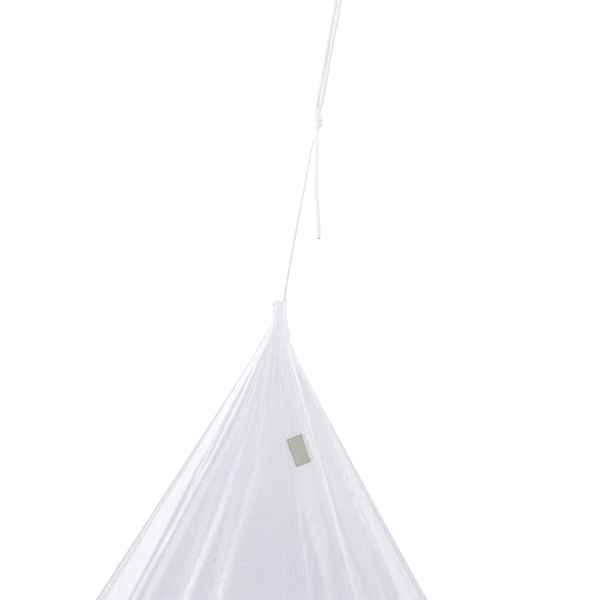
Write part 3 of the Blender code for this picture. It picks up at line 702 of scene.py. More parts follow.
@functools.lru_cache(maxsize=None)
def drawn_creases():
    """Small creases and pleats, as rows of (turn, half width, height, start, end, layers)."""
    chance = random.Random(CREASE_SEED)
    made = []
    for count, widths, heights, starts, ends, layers_and_shade_a_mm in DRAWN_CREASES:
        for i in range(count):
            turn = 360.0 * (i + chance.uniform(-CREASE_JITTER, CREASE_JITTER)) / count
            width, height = chance.uniform(*widths), chance.uniform(*heights)
            start, end = chance.uniform(*starts), chance.uniform(*ends)
            made.append((turn, width, height, start, end, layers_and_shade_a_mm * height / MM))
    return tuple(made)


def crease_relief(turns, drop):
    """Height of the fine creases at one drop, and the layers drawn into them, which count cloth
    and also paint light and shade.
    """
    height, layers = np.zeros_like(turns), np.zeros_like(turns)
    for turn, half_width, rise, start, end, drawn in drawn_creases():
        ease = CREASE_EASE * (end - start)
        grown = smooth_between((drop - start) / ease) * smooth_between((end - drop) / ease)
        if grown > 0.0:
            shape = grown * bump_at(turn_from(turn, turns) / half_width)
            height += rise * shape
            layers += drawn * shape
    for left_ease, right_ease, rise, rows in CREASES:
        drops, middles, widths, counts = zip(*rows)
        here = drop / MM
        if not drops[0] <= here <= drops[-1]:
            continue
        middle, width = np.interp(here, drops, middles), np.interp(here, drops, widths)
        count, most = np.interp(here, drops, counts), max(abs(value) for value in counts)
        off = turn_from(middle, turns)
        shape = smooth_between((off + width) / left_ease + 0.5)
        shape = shape * smooth_between((width - off) / right_ease + 0.5)
        layers += count * shape
        height += rise * MM * abs(count) / most * shape
    turn, half_width, start, rise, fade = LEDGE
    below = drop - start
    stepped = smooth_between(below / LEDGE_EDGE) * math.exp(-max(below, 0) / fade)
    height += rise * stepped * bump_at(turn_from(turn, turns) / half_width)
    return height, layers


def net_ring(turns, drop):
    """Points (across, depth) round the net at a drop, from its axis."""
    across, depth, angle = round_shape(turns, drop)
    low, high, _ = ring_ends(drop)
    left = reach(drop, LEFT_SLOPE, LEFT_BEND, LEFT_EASE)
    right = reach(drop, RIGHT_SLOPE, RIGHT_BEND, RIGHT_EASE)
    across = -left + (left + right) * (across - low) / (high - low)
    depth = (left + right) / 2 * depth
    height, _ = crease_relief(turns, drop)
    return across + height * np.sin(angle), depth - height * np.cos(angle)


def hem_dip(turns, drop):
    """How far below its drop a point near the hem hangs, as the hem line wanders."""
    wander = HEM_DIP * smooth_between((drop - LENGTH / 2) / (LENGTH / 2))
    waves = sum(np.cos(np.radians(count * turns + phase)) for count, phase in HEM_WAVES)
    return -wander * waves / 2


def mouth_rise(turns, drop):
    """How far the ragged mouth stands above its drop."""
    rise = np.zeros_like(turns)
    for turn, half_width, height in MOUTH_EDGE:
        rise += height * bump_at(turn_from(turn, turns) / half_width)
    return rise * smooth_between(1.0 - drop / MOUTH_EDGE_FADE)


def net_points(turns, drop, lift=0.0):
    """Points of the net at one drop in the row frame, moved out by a lift."""
    across, depth = net_ring(turns, drop)
    angle = np.radians(turns + twist_at(turns, drop))
    across = across + lift * np.sin(angle)
    depth = depth - lift * np.cos(angle)
    height = -drop - hem_dip(turns, drop) + mouth_rise(turns, drop)
    return np.stack([NECK_TOP.x + across, NECK_TOP.y + depth, NECK_TOP.z + height], 1)


def table_at(drop, table, column=1):
    """A column of a table whose first column is the drop in mm."""
    return float(np.interp(drop / MM, [row[0] for row in table], [row[column] for row in table]))


def cloth_layers(turns, drop):
    """How many thicknesses of cloth lie on each other at one drop, with the creases' painted light
    and shade counted in.
    """
    return np.maximum(table_at(drop, GATHERED) + crease_relief(turns, drop)[1], 0.5)


def seam_turn(drop):
    """Turn of the seam's folded edge at a drop."""
    return table_at(drop, SEAM_PATH)


def column_turns():
    """Turns of the net's columns of points, closer together on the front."""
    fine = SEAM_TURN + np.arange(0.0, 360.0, 0.1)
    dense = np.where(np.abs(turn_from(0.0, fine)) < FRONT_HALF, 1.0, BACK_DENSITY)
    share = np.concatenate([[0.0], np.cumsum(dense)]) / dense.sum()
    return np.interp(np.arange(NET_COLUMNS) / NET_COLUMNS, share, np.append(fine, fine[0] + 360.0))


def led_by_seam(turns, drop):
    """The columns' turns at a drop, drawn sideways with the seam as it wanders."""
    off = turn_from(SEAM_TURN, turns) / SEAM_HOLD
    return turns + (seam_turn(drop) - SEAM_TURN) * bump_at(off)


FRONT_TURNS = np.arange(-72.0, 74.0, 0.4)
FRONT_REACH, FRONT_LEVELS = 30 * MM, 9  # above and below the middle drop


def front_depth(across, drop, middle):
    """Depth of the net's front face at places across from its axis, near a middle drop."""
    drops = np.linspace(middle - FRONT_REACH, middle + FRONT_REACH, FRONT_LEVELS)
    columns = []
    for level in drops:
        ring_across, ring_depth = net_ring(FRONT_TURNS, level)
        columns.append(np.interp(across, ring_across, ring_depth))
    columns = np.stack(columns)
    place = np.clip((drop - drops[0]) / (drops[1] - drops[0]), 0, len(drops) - 1.001)
    low = place.astype(int)
    share = place - low
    here = np.arange(len(across))
    return columns[low, here] * (1 - share) + columns[low + 1, here] * share


def front_place(across, drop, stand_off):
    """A place in the row frame that stands off the net's front."""
    depth = float(front_depth(np.array([across - NECK_TOP.x]), np.array([drop]), drop)[0])
    return across, NECK_TOP.y + depth - stand_off, NECK_TOP.z - drop


# ---------------------------------------------------------------- mesh cloth

HOLE_DIRECTIONS = ((1.0, 0.0), (-0.5, math.sqrt(0.75)), (-0.5, -math.sqrt(0.75)))
THREAD_EDGE = 0.30  # half the width, in waves, over which a thread ends
WAVE_SAMPLES = 90  # in one repeat, each way
THREAD_COLOURS = ((0.86, 0.865, 0.89), (0.95, 0.95, 0.965))
FLUFF_COLOURS = ((0.20, 0.20, 0.21), (0.42, 0.41, 0.40))


@functools.lru_cache(maxsize=None)
def wave_levels():
    """Sorted heights of the three crossed waves that place the holes, over one repeat."""
    steps = np.arange(0.0, 1.0, 1 / WAVE_SAMPLES)
    first, second = np.meshgrid(steps, steps)
    turn = 2 * np.pi
    waves = np.cos(turn * first) + np.cos(turn * second) + np.cos(turn * (first + second))
    return np.sort(waves.ravel())


def thread_level(layers, cover):
    """The wave height below which there is thread, for a cover that grows with the layers."""
    levels = wave_levels()
    covered = 1.0 - (1.0 - cover) ** layers
    return np.interp(covered, np.linspace(0.0, 1.0, len(levels)), levels)


def mesh_cloth_material(settings):
    """White knitted mesh: threads round six-sided holes, with the backdrop showing through."""
    material, tree = new_material("net_mesh")
    place = cloth_place(tree)
    step = 2 * math.pi / (settings.hole_pitch * math.sqrt(0.75))
    waves = None
    for across, down in HOLE_DIRECTIONS:
        along = add_node(tree, "ShaderNodeVectorMath", {"operation": "DOT_PRODUCT"},
                         {0: place, 1: (across * step, down * step, 0.0)})
        wave = maths(tree, "COSINE", along.outputs["Value"])
        waves = wave if waves is None else maths(tree, "ADD", waves, wave)
    depth = maths(tree, "SUBTRACT", number_on(tree, "thread_level"), waves)
    thread = add_node(tree, "ShaderNodeMapRange", {"interpolation_type": "SMOOTHSTEP"},
                      {"From Min": -THREAD_EDGE, "From Max": THREAD_EDGE, "Value": depth})
    mottle = add_node(tree, "ShaderNodeTexNoise", {},
                      {"Scale": 9.0, "Detail": 3.0, "Vector": place})
    tint = mix_colours(tree, mottle.outputs["Fac"], shade_of(settings.cloth_colour, 0.975),
                       shade_of(settings.cloth_colour, 1.02))
    relief = relief_from(tree, depth, 0.25, 0.1 * MM)
    threads = add_node(tree, "ShaderNodeBsdfPrincipled", {},
                       {"Roughness": 0.72, "Sheen Weight": 0.12, "Sheen Roughness": 0.5,
                        "Base Color": tint, "Normal": relief})
    through = add_node(tree, "ShaderNodeBsdfTranslucent", {}, {"Color": tint, "Normal": relief})
    cloth = add_node(tree, "ShaderNodeMixShader", {},
                     {0: settings.glow, 1: threads.outputs[0], 2: through.outputs[0]})
    hole = add_node(tree, "ShaderNodeBsdfTransparent")
    finish_tree(tree, add_node(tree, "ShaderNodeMixShader", {}, {
        0: thread.outputs[0], 1: hole.outputs[0], 2: cloth.outputs[0]}))
    return material


def thread_material():
    """White sewing thread, twisted from fine yarns."""
    material, tree = new_material("sewing_thread")
    place = add_node(tree, "ShaderNodeTexCoord").outputs["Object"]
    twist = add_node(tree, "ShaderNodeTexWave", {"bands_direction": "DIAGONAL"},
                     {"Scale": 900.0, "Distortion": 1.5, "Vector": place}).outputs["Fac"]
    finish_tree(tree, add_node(tree, "ShaderNodeBsdfPrincipled", {}, {
        "Roughness": 0.6, "Base Color": mix_colours(tree, twist, *THREAD_COLOURS),
        "Normal": relief_from(tree, twist, 0.3, 0.05 * MM)}))
    return material


def dark_thread_material():
    """Grey thread and fluff."""
    material, tree = new_material("grey_thread")
    place = add_node(tree, "ShaderNodeTexCoord").outputs["Object"]
    mottle = add_node(tree, "ShaderNodeTexNoise", {}, {"Scale": 1500.0, "Vector": place})
    finish_tree(tree, add_node(tree, "ShaderNodeBsdfPrincipled", {}, {
        "Roughness": 0.8,
        "Base Color": mix_colours(tree, mottle.outputs["Fac"], *FLUFF_COLOURS)}))
    return material


def once(make, *values):
    """A shared material: made the first time that it is asked for."""
    made = once.made.get(make.__name__)
    if made is None:
        made = once.made[make.__name__] = make(*values)
    return made


once.made = {}


# ---------------------------------------------------------------- the net

FLAT_RADIUS = 1.236  # of the half-round cut, from its point to its hem edge
FLAT_ANGLE = 3.02  # radians between its two straight edges
FLAT_POINT = 12 * MM  # of the cut's point that is lost in the gathers


def net_rows():
    """Rows (drop, share of the way out, lift, layers) of the cloth from edge to edge."""
    rows = [(drop, share, -2 * PLY, 0.3) for drop, share in CASING_ROWS]
    for start, end, spacing in ROW_SPANS:
        count = round((end - start) / spacing)
        rows += [(start + (end - start) * i / count, 1.0, 0.0, 1.0) for i in range(count)]
    hem_top = LENGTH - HEM_DEPTH
    rows += [(hem_top + HEM_DEPTH * share, 1.0, 0.0, 1.0) for share in (0.0, 0.3, 0.7, 0.98)]
    rows.append((LENGTH, 1.0, -PLY, 1.0))
    rows += [(hem_top + HEM_DEPTH * share, 1.0, -2 * PLY, 1.0) for share in (0.97, 0.6, 0.3, 0.02)]
    return rows


def developed_angle_shares(turns):
    """How far round the flat cut each column lies, from 0 at the seam to 1."""
    ring = net_points(np.append(turns, turns[0] + 360.0), TWIST_END)
    steps = np.linalg.norm(np.diff(ring, axis=0), axis=1)
    return np.concatenate([[0.0], np.cumsum(steps)]) / steps.sum()


def add_net(settings):
    """One sheet of mesh cloth from its edge inside the neck to its edge inside the hem."""
    columns = column_turns()
    shares = developed_angle_shares(columns)
    slant = FLAT_RADIUS / LENGTH
    points, levels, uv = [], [], []
    walked, last_drop = FLAT_POINT - CASING_DEPTH * slant, CASING_DEPTH
    for drop, share, lift, layers in net_rows():
        turns = led_by_seam(columns, drop)
        ring = net_points(turns, drop, lift)
        if share < 1.0:
            middle = np.array([NECK_TOP.x + BUNCH_MIDDLE[0], NECK_TOP.y + BUNCH_MIDDLE[1]])
            ring[:, :2] = middle + share * (ring[:, :2] - middle)
        points.append(ring)
        levels.append(thread_level(layers * cloth_layers(turns, drop), settings.thread_cover))
        walked += abs(drop - last_drop) * slant
        last_drop = drop
        around = FLAT_ANGLE * (shares - 0.5)
        uv.append(np.stack([walked * np.sin(around), -walked * np.cos(around)], 1))
    net = add_piece(
        "canopy_net", np.concatenate(points), grid_faces(len(points), NET_COLUMNS, True),
        once(mesh_cloth_material, settings), grid_uvs(np.stack(uv)),
        numbers={"thread_level": np.concatenate(levels)})
    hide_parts("net_canopy")
    return net


class CANOPY_OT_net(bpy.types.Operator):
    """Hang the mesh cloth from its gathered neck to its turned-up hem"""

    bl_idname = "canopy.net"
    bl_label = "Net"

    def execute(self, context):
        add_net(context.scene.canopy_net)
        return {"FINISHED"}


# ---------------------------------------------------------------- seam, hem and casing stitches


def seam_rows():
    """Drops of the seam's rows of points."""
    return np.linspace(*SEAM_ENDS, round(LENGTH / SEAM_ROW_SPACING))


def seam_strip(drop, offsets, lifts):
    """Points across the seam at a drop, from offsets to the left of its folded edge."""
    across, depth = net_ring(np.array([seam_turn(drop)]), drop)
    radius = math.hypot(float(across[0]), float(depth[0]))
    turns = seam_turn(drop) - np.degrees(np.asarray(offsets) / radius)
    points = net_points(turns, drop)
    edge = np.gradient(points, axis=0)
    outward = np.stack([edge[:, 1], -edge[:, 0], np.zeros(len(edge))], 1)
    outward /= np.linalg.norm(outward, axis=1)[:, None]
    outward *= np.where(outward[:, 1:2] > 0, -1.0, 1.0)
    return points + outward * np.asarray(lifts)[:, None]


def lap_width(drop):
    """Width of the lap from the folded edge to its stitched edge."""
    return table_at(drop, SEAM_LAP) * MM


def label_lift(drop):
    """How far the lap rides up where the label is caught under it."""
    off = (drop - LABEL_CENTRE[1]) / (LABEL_HEIGHT * LABEL_RISE_REACH)
    return LABEL_RISE * float(smooth_between(LABEL_RISE_SLOPE * (1.0 - abs(off))))


def add_seam(settings):
    """The lap on the front: a folded ridge on its right and one more layer to its left."""
    points, levels, uv = [], [], []
    for drop in seam_rows():
        width, lap_layers = lap_width(drop), table_at(drop, SEAM_LAP, 2)
        ridge_layers, narrow = table_at(drop, SEAM_CLOTH), min(1.0, width / NARROW_LAP)
        raised = label_lift(drop)
        ridge = [[place * narrow, lift, share * ridge_layers]
                 for place, lift, share in SEAM_RIDGE]
        ridge[-1][1] += raised * 0.5
        lap = [[width * share, LAP_LIFT + more + raised,
                (1.0 if raised > MM else count) * lap_layers]
               for share, more, count in LAP_PROFILE]
        offsets, lifts, layers = np.array(ridge + lap).T[:, ::-1]
        points.append(seam_strip(drop, offsets, lifts))
        levels.append(thread_level(layers, settings.thread_cover))
        uv.append(np.stack([-offsets, np.full(len(offsets), -drop)], 1))
    return add_piece(
        "front_seam", np.concatenate(points), grid_faces(len(points), len(points[0]), False),
        once(mesh_cloth_material, settings), grid_uvs(np.stack(uv)),
        numbers={"thread_level": np.concatenate(levels)})


def stitch_shape():
    """Points and faces of one stitch, a small rounded bead of thread along X."""
    bpy.ops.object.select_all(action="DESELECT")
    bpy.ops.mesh.primitive_uv_sphere_add(segments=6, ring_count=4, radius=0.5)
    bead = bpy.context.active_object
    bead.rotation_euler = (0.0, math.pi / 2, 0.0)
    bead.scale = (STITCH_HEIGHT, STITCH_WIDTH, STITCH_LENGTH)
    bpy.ops.object.transform_apply(location=False, rotation=True, scale=True)
    points = np.array([vert.co[:] for vert in bead.data.vertices])
    faces = [list(face.vertices) for face in bead.data.polygons]
    bpy.data.objects.remove(bead, do_unlink=True)
    return points, faces


def sew(name, runs, material):
    """Stitches along runs of (place, direction, outward), joined into one piece."""
    shape, shape_faces = stitch_shape()
    points, faces = [], []
    for place, along, outward in runs:
        along = Vector(along).normalized()
        sideways = Vector(outward).cross(along).normalized()
        up = along.cross(sideways)
        turned = np.array([along[:], sideways[:], up[:]])
        start = sum(len(group) for group in points)
        points.append(np.array(place) + shape @ turned)
        faces += [[start + corner for corner in face] for face in shape_faces]
    return add_piece(name, np.concatenate(points), faces, material)


def run_round(drop, lift, spacing, arch=0.0):
    """Places for stitches in a ring round the net, that may rise over the front."""
    turns = SEAM_TURN + np.arange(0.0, 360.0, 0.5)
    ring, inner = net_points(turns, drop, lift), net_points(turns, drop)
    middle, half_width = ARCH
    for points in (ring, inner):
        points[:, 2] += arch * bump_at(turn_from(middle, turns) / half_width)
    lengths = np.concatenate([[0.0], np.cumsum(np.linalg.norm(np.diff(ring, axis=0), axis=1))])
    count = max(3, int(lengths[-1] / spacing))
    for target in np.linspace(0.0, lengths[-1], count, endpoint=False):
        i = min(int(np.searchsorted(lengths, target, "right")) - 1, len(ring) - 2)
        share = (target - lengths[i]) / max(lengths[i + 1] - lengths[i], 1e-9)
        place = ring[i] + share * (ring[i + 1] - ring[i])
        yield place, ring[i + 1] - ring[i], ring[i] - inner[i]


def run_down_seam(share, lift, spacing):
    """Places for stitches down the seam, at a share of the lap's width."""
    places = []
    for drop in np.arange(*SEAM_SEWN, spacing):
        offset = lap_width(drop) * share
        offsets = [offset - STITCH_GRIP, offset, offset + STITCH_GRIP]
        raised, flat = (seam_strip(drop, offsets, [height] * 3)[1]
                        for height in (lift + label_lift(drop), 0.0))
        places.append((raised, raised - flat))
    for (here, outward), (there, _) in zip(places, places[1:]):
        yield here, there - here, outward


def add_stitches():
    """The rows of stitches down the seam, round the hem and round the neck's casing."""
    thread = once(thread_material)
    sew("seam_stitches", run_down_seam(*SEAM_STITCHES), thread)
    sew("hem_stitches", run_round(*HEM_STITCHES), thread)
    sew("casing_stitches", run_round(*CASING_STITCHES), thread)


def add_fin(settings):
    """The narrow cut edge of the casing that stands off the net's left side, and its sewing."""
    start, end, width = FIN
    grow, fade = FIN_EASES
    ripple, step = FIN_RIPPLE
    repeat, dark_ones, dark_end = FIN_DARK
    points, levels, uv, light, dark = [], [], [], [], []
    for i, drop in enumerate(np.arange(start, end, FIN_STEP)):
        turn = np.array([ring_ends(drop)[2]])
        out = width * float(smooth_between((drop - start) / grow))
        out *= float(smooth_between((end - drop) / fade)) * (1 + ripple * math.sin(i * step))
        rim = [net_points(turn, drop, lift)[0] for lift in (out, 0.5 * out, -FIN_ROOT)]
        points += rim
        levels.append(thread_level(np.array(FIN_LAYERS), settings.thread_cover))
        uv.append(np.stack([np.array([-out, -0.5 * out, 0.0]), np.full(3, -drop)], 1))
        if i:
            run = dark if i % repeat in dark_ones and drop < dark_end else light
            run.append(((rim[0] + last) / 2, rim[0] - last, FRONTWARDS))
        last = rim[0]
    add_piece("casing_fin", points, grid_faces(len(points) // 3, 3, False),
              once(mesh_cloth_material, settings), grid_uvs(np.stack(uv)),
              numbers={"thread_level": np.concatenate(levels)})
    sew("fin_stitches", light, once(thread_material))
    sew("fin_dark_stitches", dark, once(dark_thread_material))


def add_thread_end():
    """The small loop of thread left where the lap narrows."""
    across, drop, radius = THREAD_END
    bpy.ops.object.select_all(action="DESELECT")
    bpy.ops.mesh.primitive_torus_add(
        major_radius=radius, minor_radius=THREAD_RADIUS, major_segments=24, minor_segments=6,
        rotation=[math.radians(turn) for turn in THREAD_TURN],
        location=front_place(across, drop, THREAD_STAND_OFF))
    finish_small("thread_end", once(thread_material))


def add_lint():
    """A speck of fluff caught on the mesh."""
    across, drop, radius = LINT
    bpy.ops.object.select_all(action="DESELECT")
    bpy.ops.mesh.primitive_ico_sphere_add(
        subdivisions=2, radius=radius, location=front_place(across, drop, LINT_STAND_OFF))
    chance = random.Random(LINT_SEED)
    for vert in bpy.context.active_object.data.vertices:
        vert.co *= chance.uniform(*LINT_LUMPS)
        vert.co.y *= LINT_FLATNESS
    finish_small("lint_speck", once(dark_thread_material))


def finish_small(name, material):
    """Settle a small piece made by an operator: place in the mesh, material and body."""
    bpy.ops.object.transform_apply(location=True, rotation=True, scale=True)
    piece = bpy.context.active_object
    piece.name = name
    piece.data.shade_smooth()
    piece.data.materials.append(material)
    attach(piece, "root")


def add_mouth_tuft():
    """Short cut threads at the left of the mouth, and one dark knot of thread."""
    chance = random.Random(TUFT_SEED)
    light = []
    for i in range(TUFT_COUNT):
        turn = np.array([TUFT_TURN + chance.uniform(*TUFT_SPREAD)])
        out = chance.uniform(*TUFT_OUT) * MM
        place = net_points(turn, (TUFT_DROP + TUFT_STEP * i) * MM, out)[0]
        along = (-1.0, chance.uniform(*TUFT_DEPTHS), chance.uniform(*TUFT_FALLS))
        light.append((place, along, TUFT_FACING))
    dark = [(net_points(np.array([turn]), drop, KNOT_STAND_OFF)[0], MOUTH_KNOT_LIE, FRONTWARDS)
            for drop, turn in MOUTH_KNOT]
    sew("mouth_tuft", light, once(thread_material))
    sew("mouth_knot", dark, once(dark_thread_material))


class CANOPY_OT_sewing(bpy.types.Operator):
    """Lap the front seam and sew the seam, the hem and the neck's casing"""

    bl_idname = "canopy.sewing"
    bl_label = "Seam and stitches"

    def execute(self, context):
        settings = context.scene.canopy_net
        add_seam(settings)
        add_stitches()
        add_fin(settings)
        add_mouth_tuft()
        add_thread_end()
        add_lint()
        return {"FINISHED"}


# ---------------------------------------------------------------- label

WAVE_BANDS = 3.18  # bands in one unit of a Wave texture at scale 1
LABEL_WEAVE_SHADE = (0.86, 0.86, 0.85)  # painted shade: how much darker the hollows of its weave are drawn


def label_material(settings):
    """Ribbed satin weave with painted shade in its hollows, a little darker along its turned
    edges.
    """
    material, tree = new_material("label_weave")
    place = cloth_place(tree)
    ribs, picks = (
        add_node(tree, "ShaderNodeTexWave", {"bands_direction": way}, {
            "Scale": share / settings.rib_pitch / WAVE_BANDS, "Distortion": wobble,
            "Vector": place}).outputs["Fac"]
        for way, share, wobble in (("Y", 1.0, 0.3), ("X", 1.4, 0.4)))
    weave = maths(tree, "MULTIPLY", ribs, picks)
    wear = add_node(tree, "ShaderNodeTexNoise", {},
                    {"Scale": 520.0, "Detail": 4.0, "Vector": place}).outputs[0]
    blotch = add_node(tree, "ShaderNodeMapRange", {},
                      {"From Min": 0.35, "From Max": 0.7, "To Max": 0.4, "Value": wear})
    # darker towards its turned edges, unevenly
    edge_dark = maths(tree, "MULTIPLY", number_on(tree, "edge"), maths(tree, "ADD", 0.45, wear))
    shade = maths(tree, "MAXIMUM", edge_dark, blotch.outputs[0])
    tint = mix_colours(tree, shade, settings.ground_colour, settings.edge_colour)
    # painted shade: the weave's hollows drawn darker than its ribs
    weave_shade = mix_colours(tree, 1.0, tint, LABEL_WEAVE_SHADE, "MULTIPLY")
    finish_tree(tree, add_node(tree, "ShaderNodeBsdfPrincipled", {}, {
        "Roughness": 0.62, "Sheen Weight": 0.25, "Sheen Roughness": 0.4,
        "Base Color": mix_colours(tree, weave, weave_shade, tint),
        "Normal": relief_from(tree, weave, 0.5, 0.12 * MM)}))
    return material


def add_label(settings):
    """One woven strip folded double at its left edge, its ends caught in the seam."""
    columns, rows = LABEL_GRID
    half = LABEL_WIDTH / 2
    sides = np.linspace(half + LABEL_TUCK, -half, columns)
    fold = np.radians(np.linspace(0, 180, 5)[1:-1])
    side = np.concatenate([sides, -half - LABEL_PLY * np.sin(fold), sides[::-1]])
    out = np.concatenate([np.zeros(columns), LABEL_PLY * (1 - np.cos(fold)),
                          np.full(columns, 2 * LABEL_PLY)])
    side, out = np.tile(side, rows), np.tile(out, rows)
    down = np.repeat(np.linspace(-LABEL_HEIGHT / 2, LABEL_HEIGHT / 2, rows), len(side) // rows)
    free = smooth_between((half - side) / LABEL_WIDTH)
    corner = (np.abs(down) / (LABEL_HEIGHT / 2)) ** 3
    out = out + free * LABEL_CURL * corner + LABEL_BULGE * np.sin(np.pi * (side / half + 1) / 2)
    sway, span = LABEL_SWAY
    side = side + sway * np.sin(down / LABEL_HEIGHT * span) * free
    tilt = math.radians(LABEL_TILT)
    across = LABEL_CENTRE[0] + side * math.cos(tilt) + down * math.sin(tilt)
    drop = LABEL_CENTRE[1] + down * math.cos(tilt) - side * math.sin(tilt)
    depth = front_depth(across, drop, LABEL_CENTRE[1]) - LABEL_CLEARANCE - out
    points = np.stack([NECK_TOP.x + across, NECK_TOP.y + depth, NECK_TOP.z - drop], 1)
    edge = np.maximum(np.abs(down) / (LABEL_HEIGHT / 2), -side / half)
    edge = smooth_between((edge - LABEL_RIM[0]) / LABEL_RIM[1])
    length = np.tile(np.arange(len(side) // rows) * (LABEL_WIDTH + LABEL_TUCK) / columns, rows)
    uv = np.stack([length, -down], 1).reshape(rows, -1, 2)
    label = add_piece(
        "side_label", points, grid_faces(rows, len(side) // rows, False),
        label_material(settings), grid_uvs(uv), numbers={"edge": edge})
    solid = label.modifiers.new("thickness", "SOLIDIFY")
    solid.thickness, solid.offset = LABEL_THICKNESS, 0.0
    pick(label)
    bpy.ops.object.modifier_apply(modifier="thickness")
    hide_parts("woven_label")


class CANOPY_OT_label(bpy.types.Operator):
    """Fold the bare woven label and catch it in the front seam"""

    bl_idname = "canopy.label"
    bl_label = "Label"

    def execute(self, context):
        add_label(context.scene.canopy_label)
        return {"FINISHED"}


# ---------------------------------------------------------------- cords


def cord_material(settings):
    """Plaited white cord: fine yarns along each strand, painted shade between the strands, and a
    grey that changes along each run.
    """
    material, tree = new_material("cord_braid")
    place = cloth_place(tree)
    yarns = add_node(tree, "ShaderNodeTexWave", {"bands_direction": "DIAGONAL"},
                     {"Scale": 420.0, "Distortion": 2.0, "Detail": 2.0, "Vector": place})
    fluff = add_node(tree, "ShaderNodeTexNoise", {},
                     {"Scale": 900.0, "Detail": 3.0, "Vector": place}).outputs[0]
    # greyer along the run by the set amounts; below 0 it takes back painted shade
    greying = maths(tree, "MULTIPLY", number_on(tree, "handled"), maths(tree, "ADD", 0.5, fluff))
    # painted shade: darker where the plait's strands dip between each other, plus the greying
    # along the run
    shade = maths(tree, "ADD", maths(tree, "MULTIPLY", number_on(tree, "hollow"), 0.45), greying)
    tint = mix_colours(tree, shade, settings.cord_colour, shade_of(settings.cord_colour, 0.82))
    scorch = maths(tree, "MULTIPLY", number_on(tree, "tip"), maths(tree, "ADD", 0.55, fluff))
    grain = maths(tree, "ADD", yarns.outputs["Fac"], fluff)
    finish_tree(tree, add_node(tree, "ShaderNodeBsdfPrincipled", {}, {
        "Roughness": 0.75, "Sheen Weight": 0.05, "Sheen Roughness": 0.5,
        "Base Color": mix_colours(tree, scorch, tint, settings.tip_colour),
        "Normal": relief_from(tree, grain, 0.35, 0.12 * MM)}))
    return material


def curve_through(points, spacing):
    """Evenly spaced points on a smooth curve that passes through the given ones."""
    ends = [2 * points[0] - points[1], *points, 2 * points[-1] - points[-2]]
    fine = []
    for p0, p1, p2, p3 in zip(ends, ends[1:], ends[2:], ends[3:]):
        for step in range(CURVE_STEPS):
            t = step / CURVE_STEPS
            fine.append(
                0.5 * (2 * p1 + t * (p2 - p0) + t**2 * (2 * p0 - 5 * p1 + 4 * p2 - p3)
                       + t**3 * (3 * p1 - p0 - 3 * p2 + p3)))
    fine.append(points[-1])
    length = sum((b - a).length for a, b in zip(fine, fine[1:]))
    count = max(2, round(length / spacing))
    spaced, walked, target = [fine[0]], 0.0, length / count
    for a, b in zip(fine, fine[1:]):
        step = (b - a).length
        while walked + step >= target and len(spaced) < count:
            spaced.append(a.lerp(b, (target - walked) / step))
            target += length / count
        walked += step
    spaced.append(fine[-1])
    return spaced


def loop_route():
    """Up one strand of the loop, over the hook and down the other strand."""
    strands = {-1: [], 1: []}
    for *sizes, turn in LOOP_RUN:
        across, height, half_spacing = (size * MM for size in sizes)
        for side, strand in strands.items():
            sideways = side * half_spacing * math.cos(math.radians(turn))
            forward = -side * half_spacing * math.sin(math.radians(turn))
            strand.append(Vector((across + sideways, forward, height)))
    bight_middle = CORD_DIAMETER / 2 - BIGHT_RADIUS
    over = []
    for turn in range(180, -1, -BIGHT_STEP):
        angle = math.radians(turn)
        over.append(Vector((BIGHT_RADIUS * math.cos(angle), 0.0,
                            bight_middle + BIGHT_RADIUS * math.sin(angle))))
    return [*reversed(strands[-1]), *over, *strands[1]]


def plait_height(round_share, along, lay):
    """Height from 0 to 1 of a plaited surface, where strands pass over and under."""
    first = PLAIT_STRANDS * (round_share + along / lay)
    second = PLAIT_STRANDS * (round_share - along / lay)
    over = (np.floor(first) + np.floor(second)) % 2 == 0
    across = np.where(over, first, second) % 1.0
    lengthways = np.where(over, second, first) % 1.0
    return np.sqrt(np.sin(np.pi * across)) * (0.55 + 0.45 * np.sin(np.pi * lengthways))


def add_cord(name, points, diameter, lay, material, handled, sides=CORD_SIDES,
             spacing=CORD_SPACING, tip=0.0):
    """A plaited tube along a smooth curve: (piece, its middle line, its length). It is made greyer
    by the given amounts at its start and end, below 0 lifting the painted shade of its hollows,
    and tip is the length of its end that is scorched."""
    route = curve_through(points, spacing)
    centres = np.array([point[:] for point in route])
    length = np.concatenate([[0.0], np.cumsum(np.linalg.norm(np.diff(centres, axis=0), axis=1))])
    tangents = np.gradient(centres, axis=0)
    tangents /= np.linalg.norm(tangents, axis=1)[:, None]
    side = np.cross(tangents[0], (0.0, 1.0, 0.0))
    rings, hollow, tips, uv = [], [], [], []
    share = np.arange(sides) / sides
    for centre, tangent, along in zip(centres, tangents, length):
        side = side - tangent * (side @ tangent)
        side /= np.linalg.norm(side)
        other = np.cross(tangent, side)
        height = plait_height(share, along, lay)
        left = length[-1] - along
        taper = 1.0 - TIP_TAPER * float(smooth_between(1.0 - left / tip)) if tip else 1.0
        radius = diameter / 2 * taper * (1.0 + PLAIT_RELIEF * (height - PLAIT_MIDDLE))
        angle = 2 * np.pi * share
        rings.append(centre + (radius * np.cos(angle))[:, None] * side
                     + (radius * np.sin(angle))[:, None] * other)
        # painted shade: how deep each point lies between the strands
        hollow.append(1.0 - height)
        tips.append(np.full(sides, float(smooth_between(1.0 - 2 * left / tip)) if tip else 0.0))
        around = np.append(share, 1.0) * math.pi * diameter
        uv.append(np.stack([around, np.full(sides + 1, along)], 1))
    faces = grid_faces(len(rings), sides, True)
    uvs = grid_uvs(np.stack(uv))
    caps = [list(range(sides))[::-1], [(len(rings) - 1) * sides + i for i in range(sides)]]
    cap_uvs = np.zeros((2 * sides, 2))
    made = add_piece(
        name, np.concatenate(rings), faces + caps, material,
        np.concatenate([uvs, cap_uvs]),
        numbers={"hollow": np.concatenate(hollow), "tip": np.concatenate(tips),
                 "handled": np.repeat(np.linspace(*handled, len(rings)), sides)})
    face_outwards(made)
    return made, centres, float(length[-1])


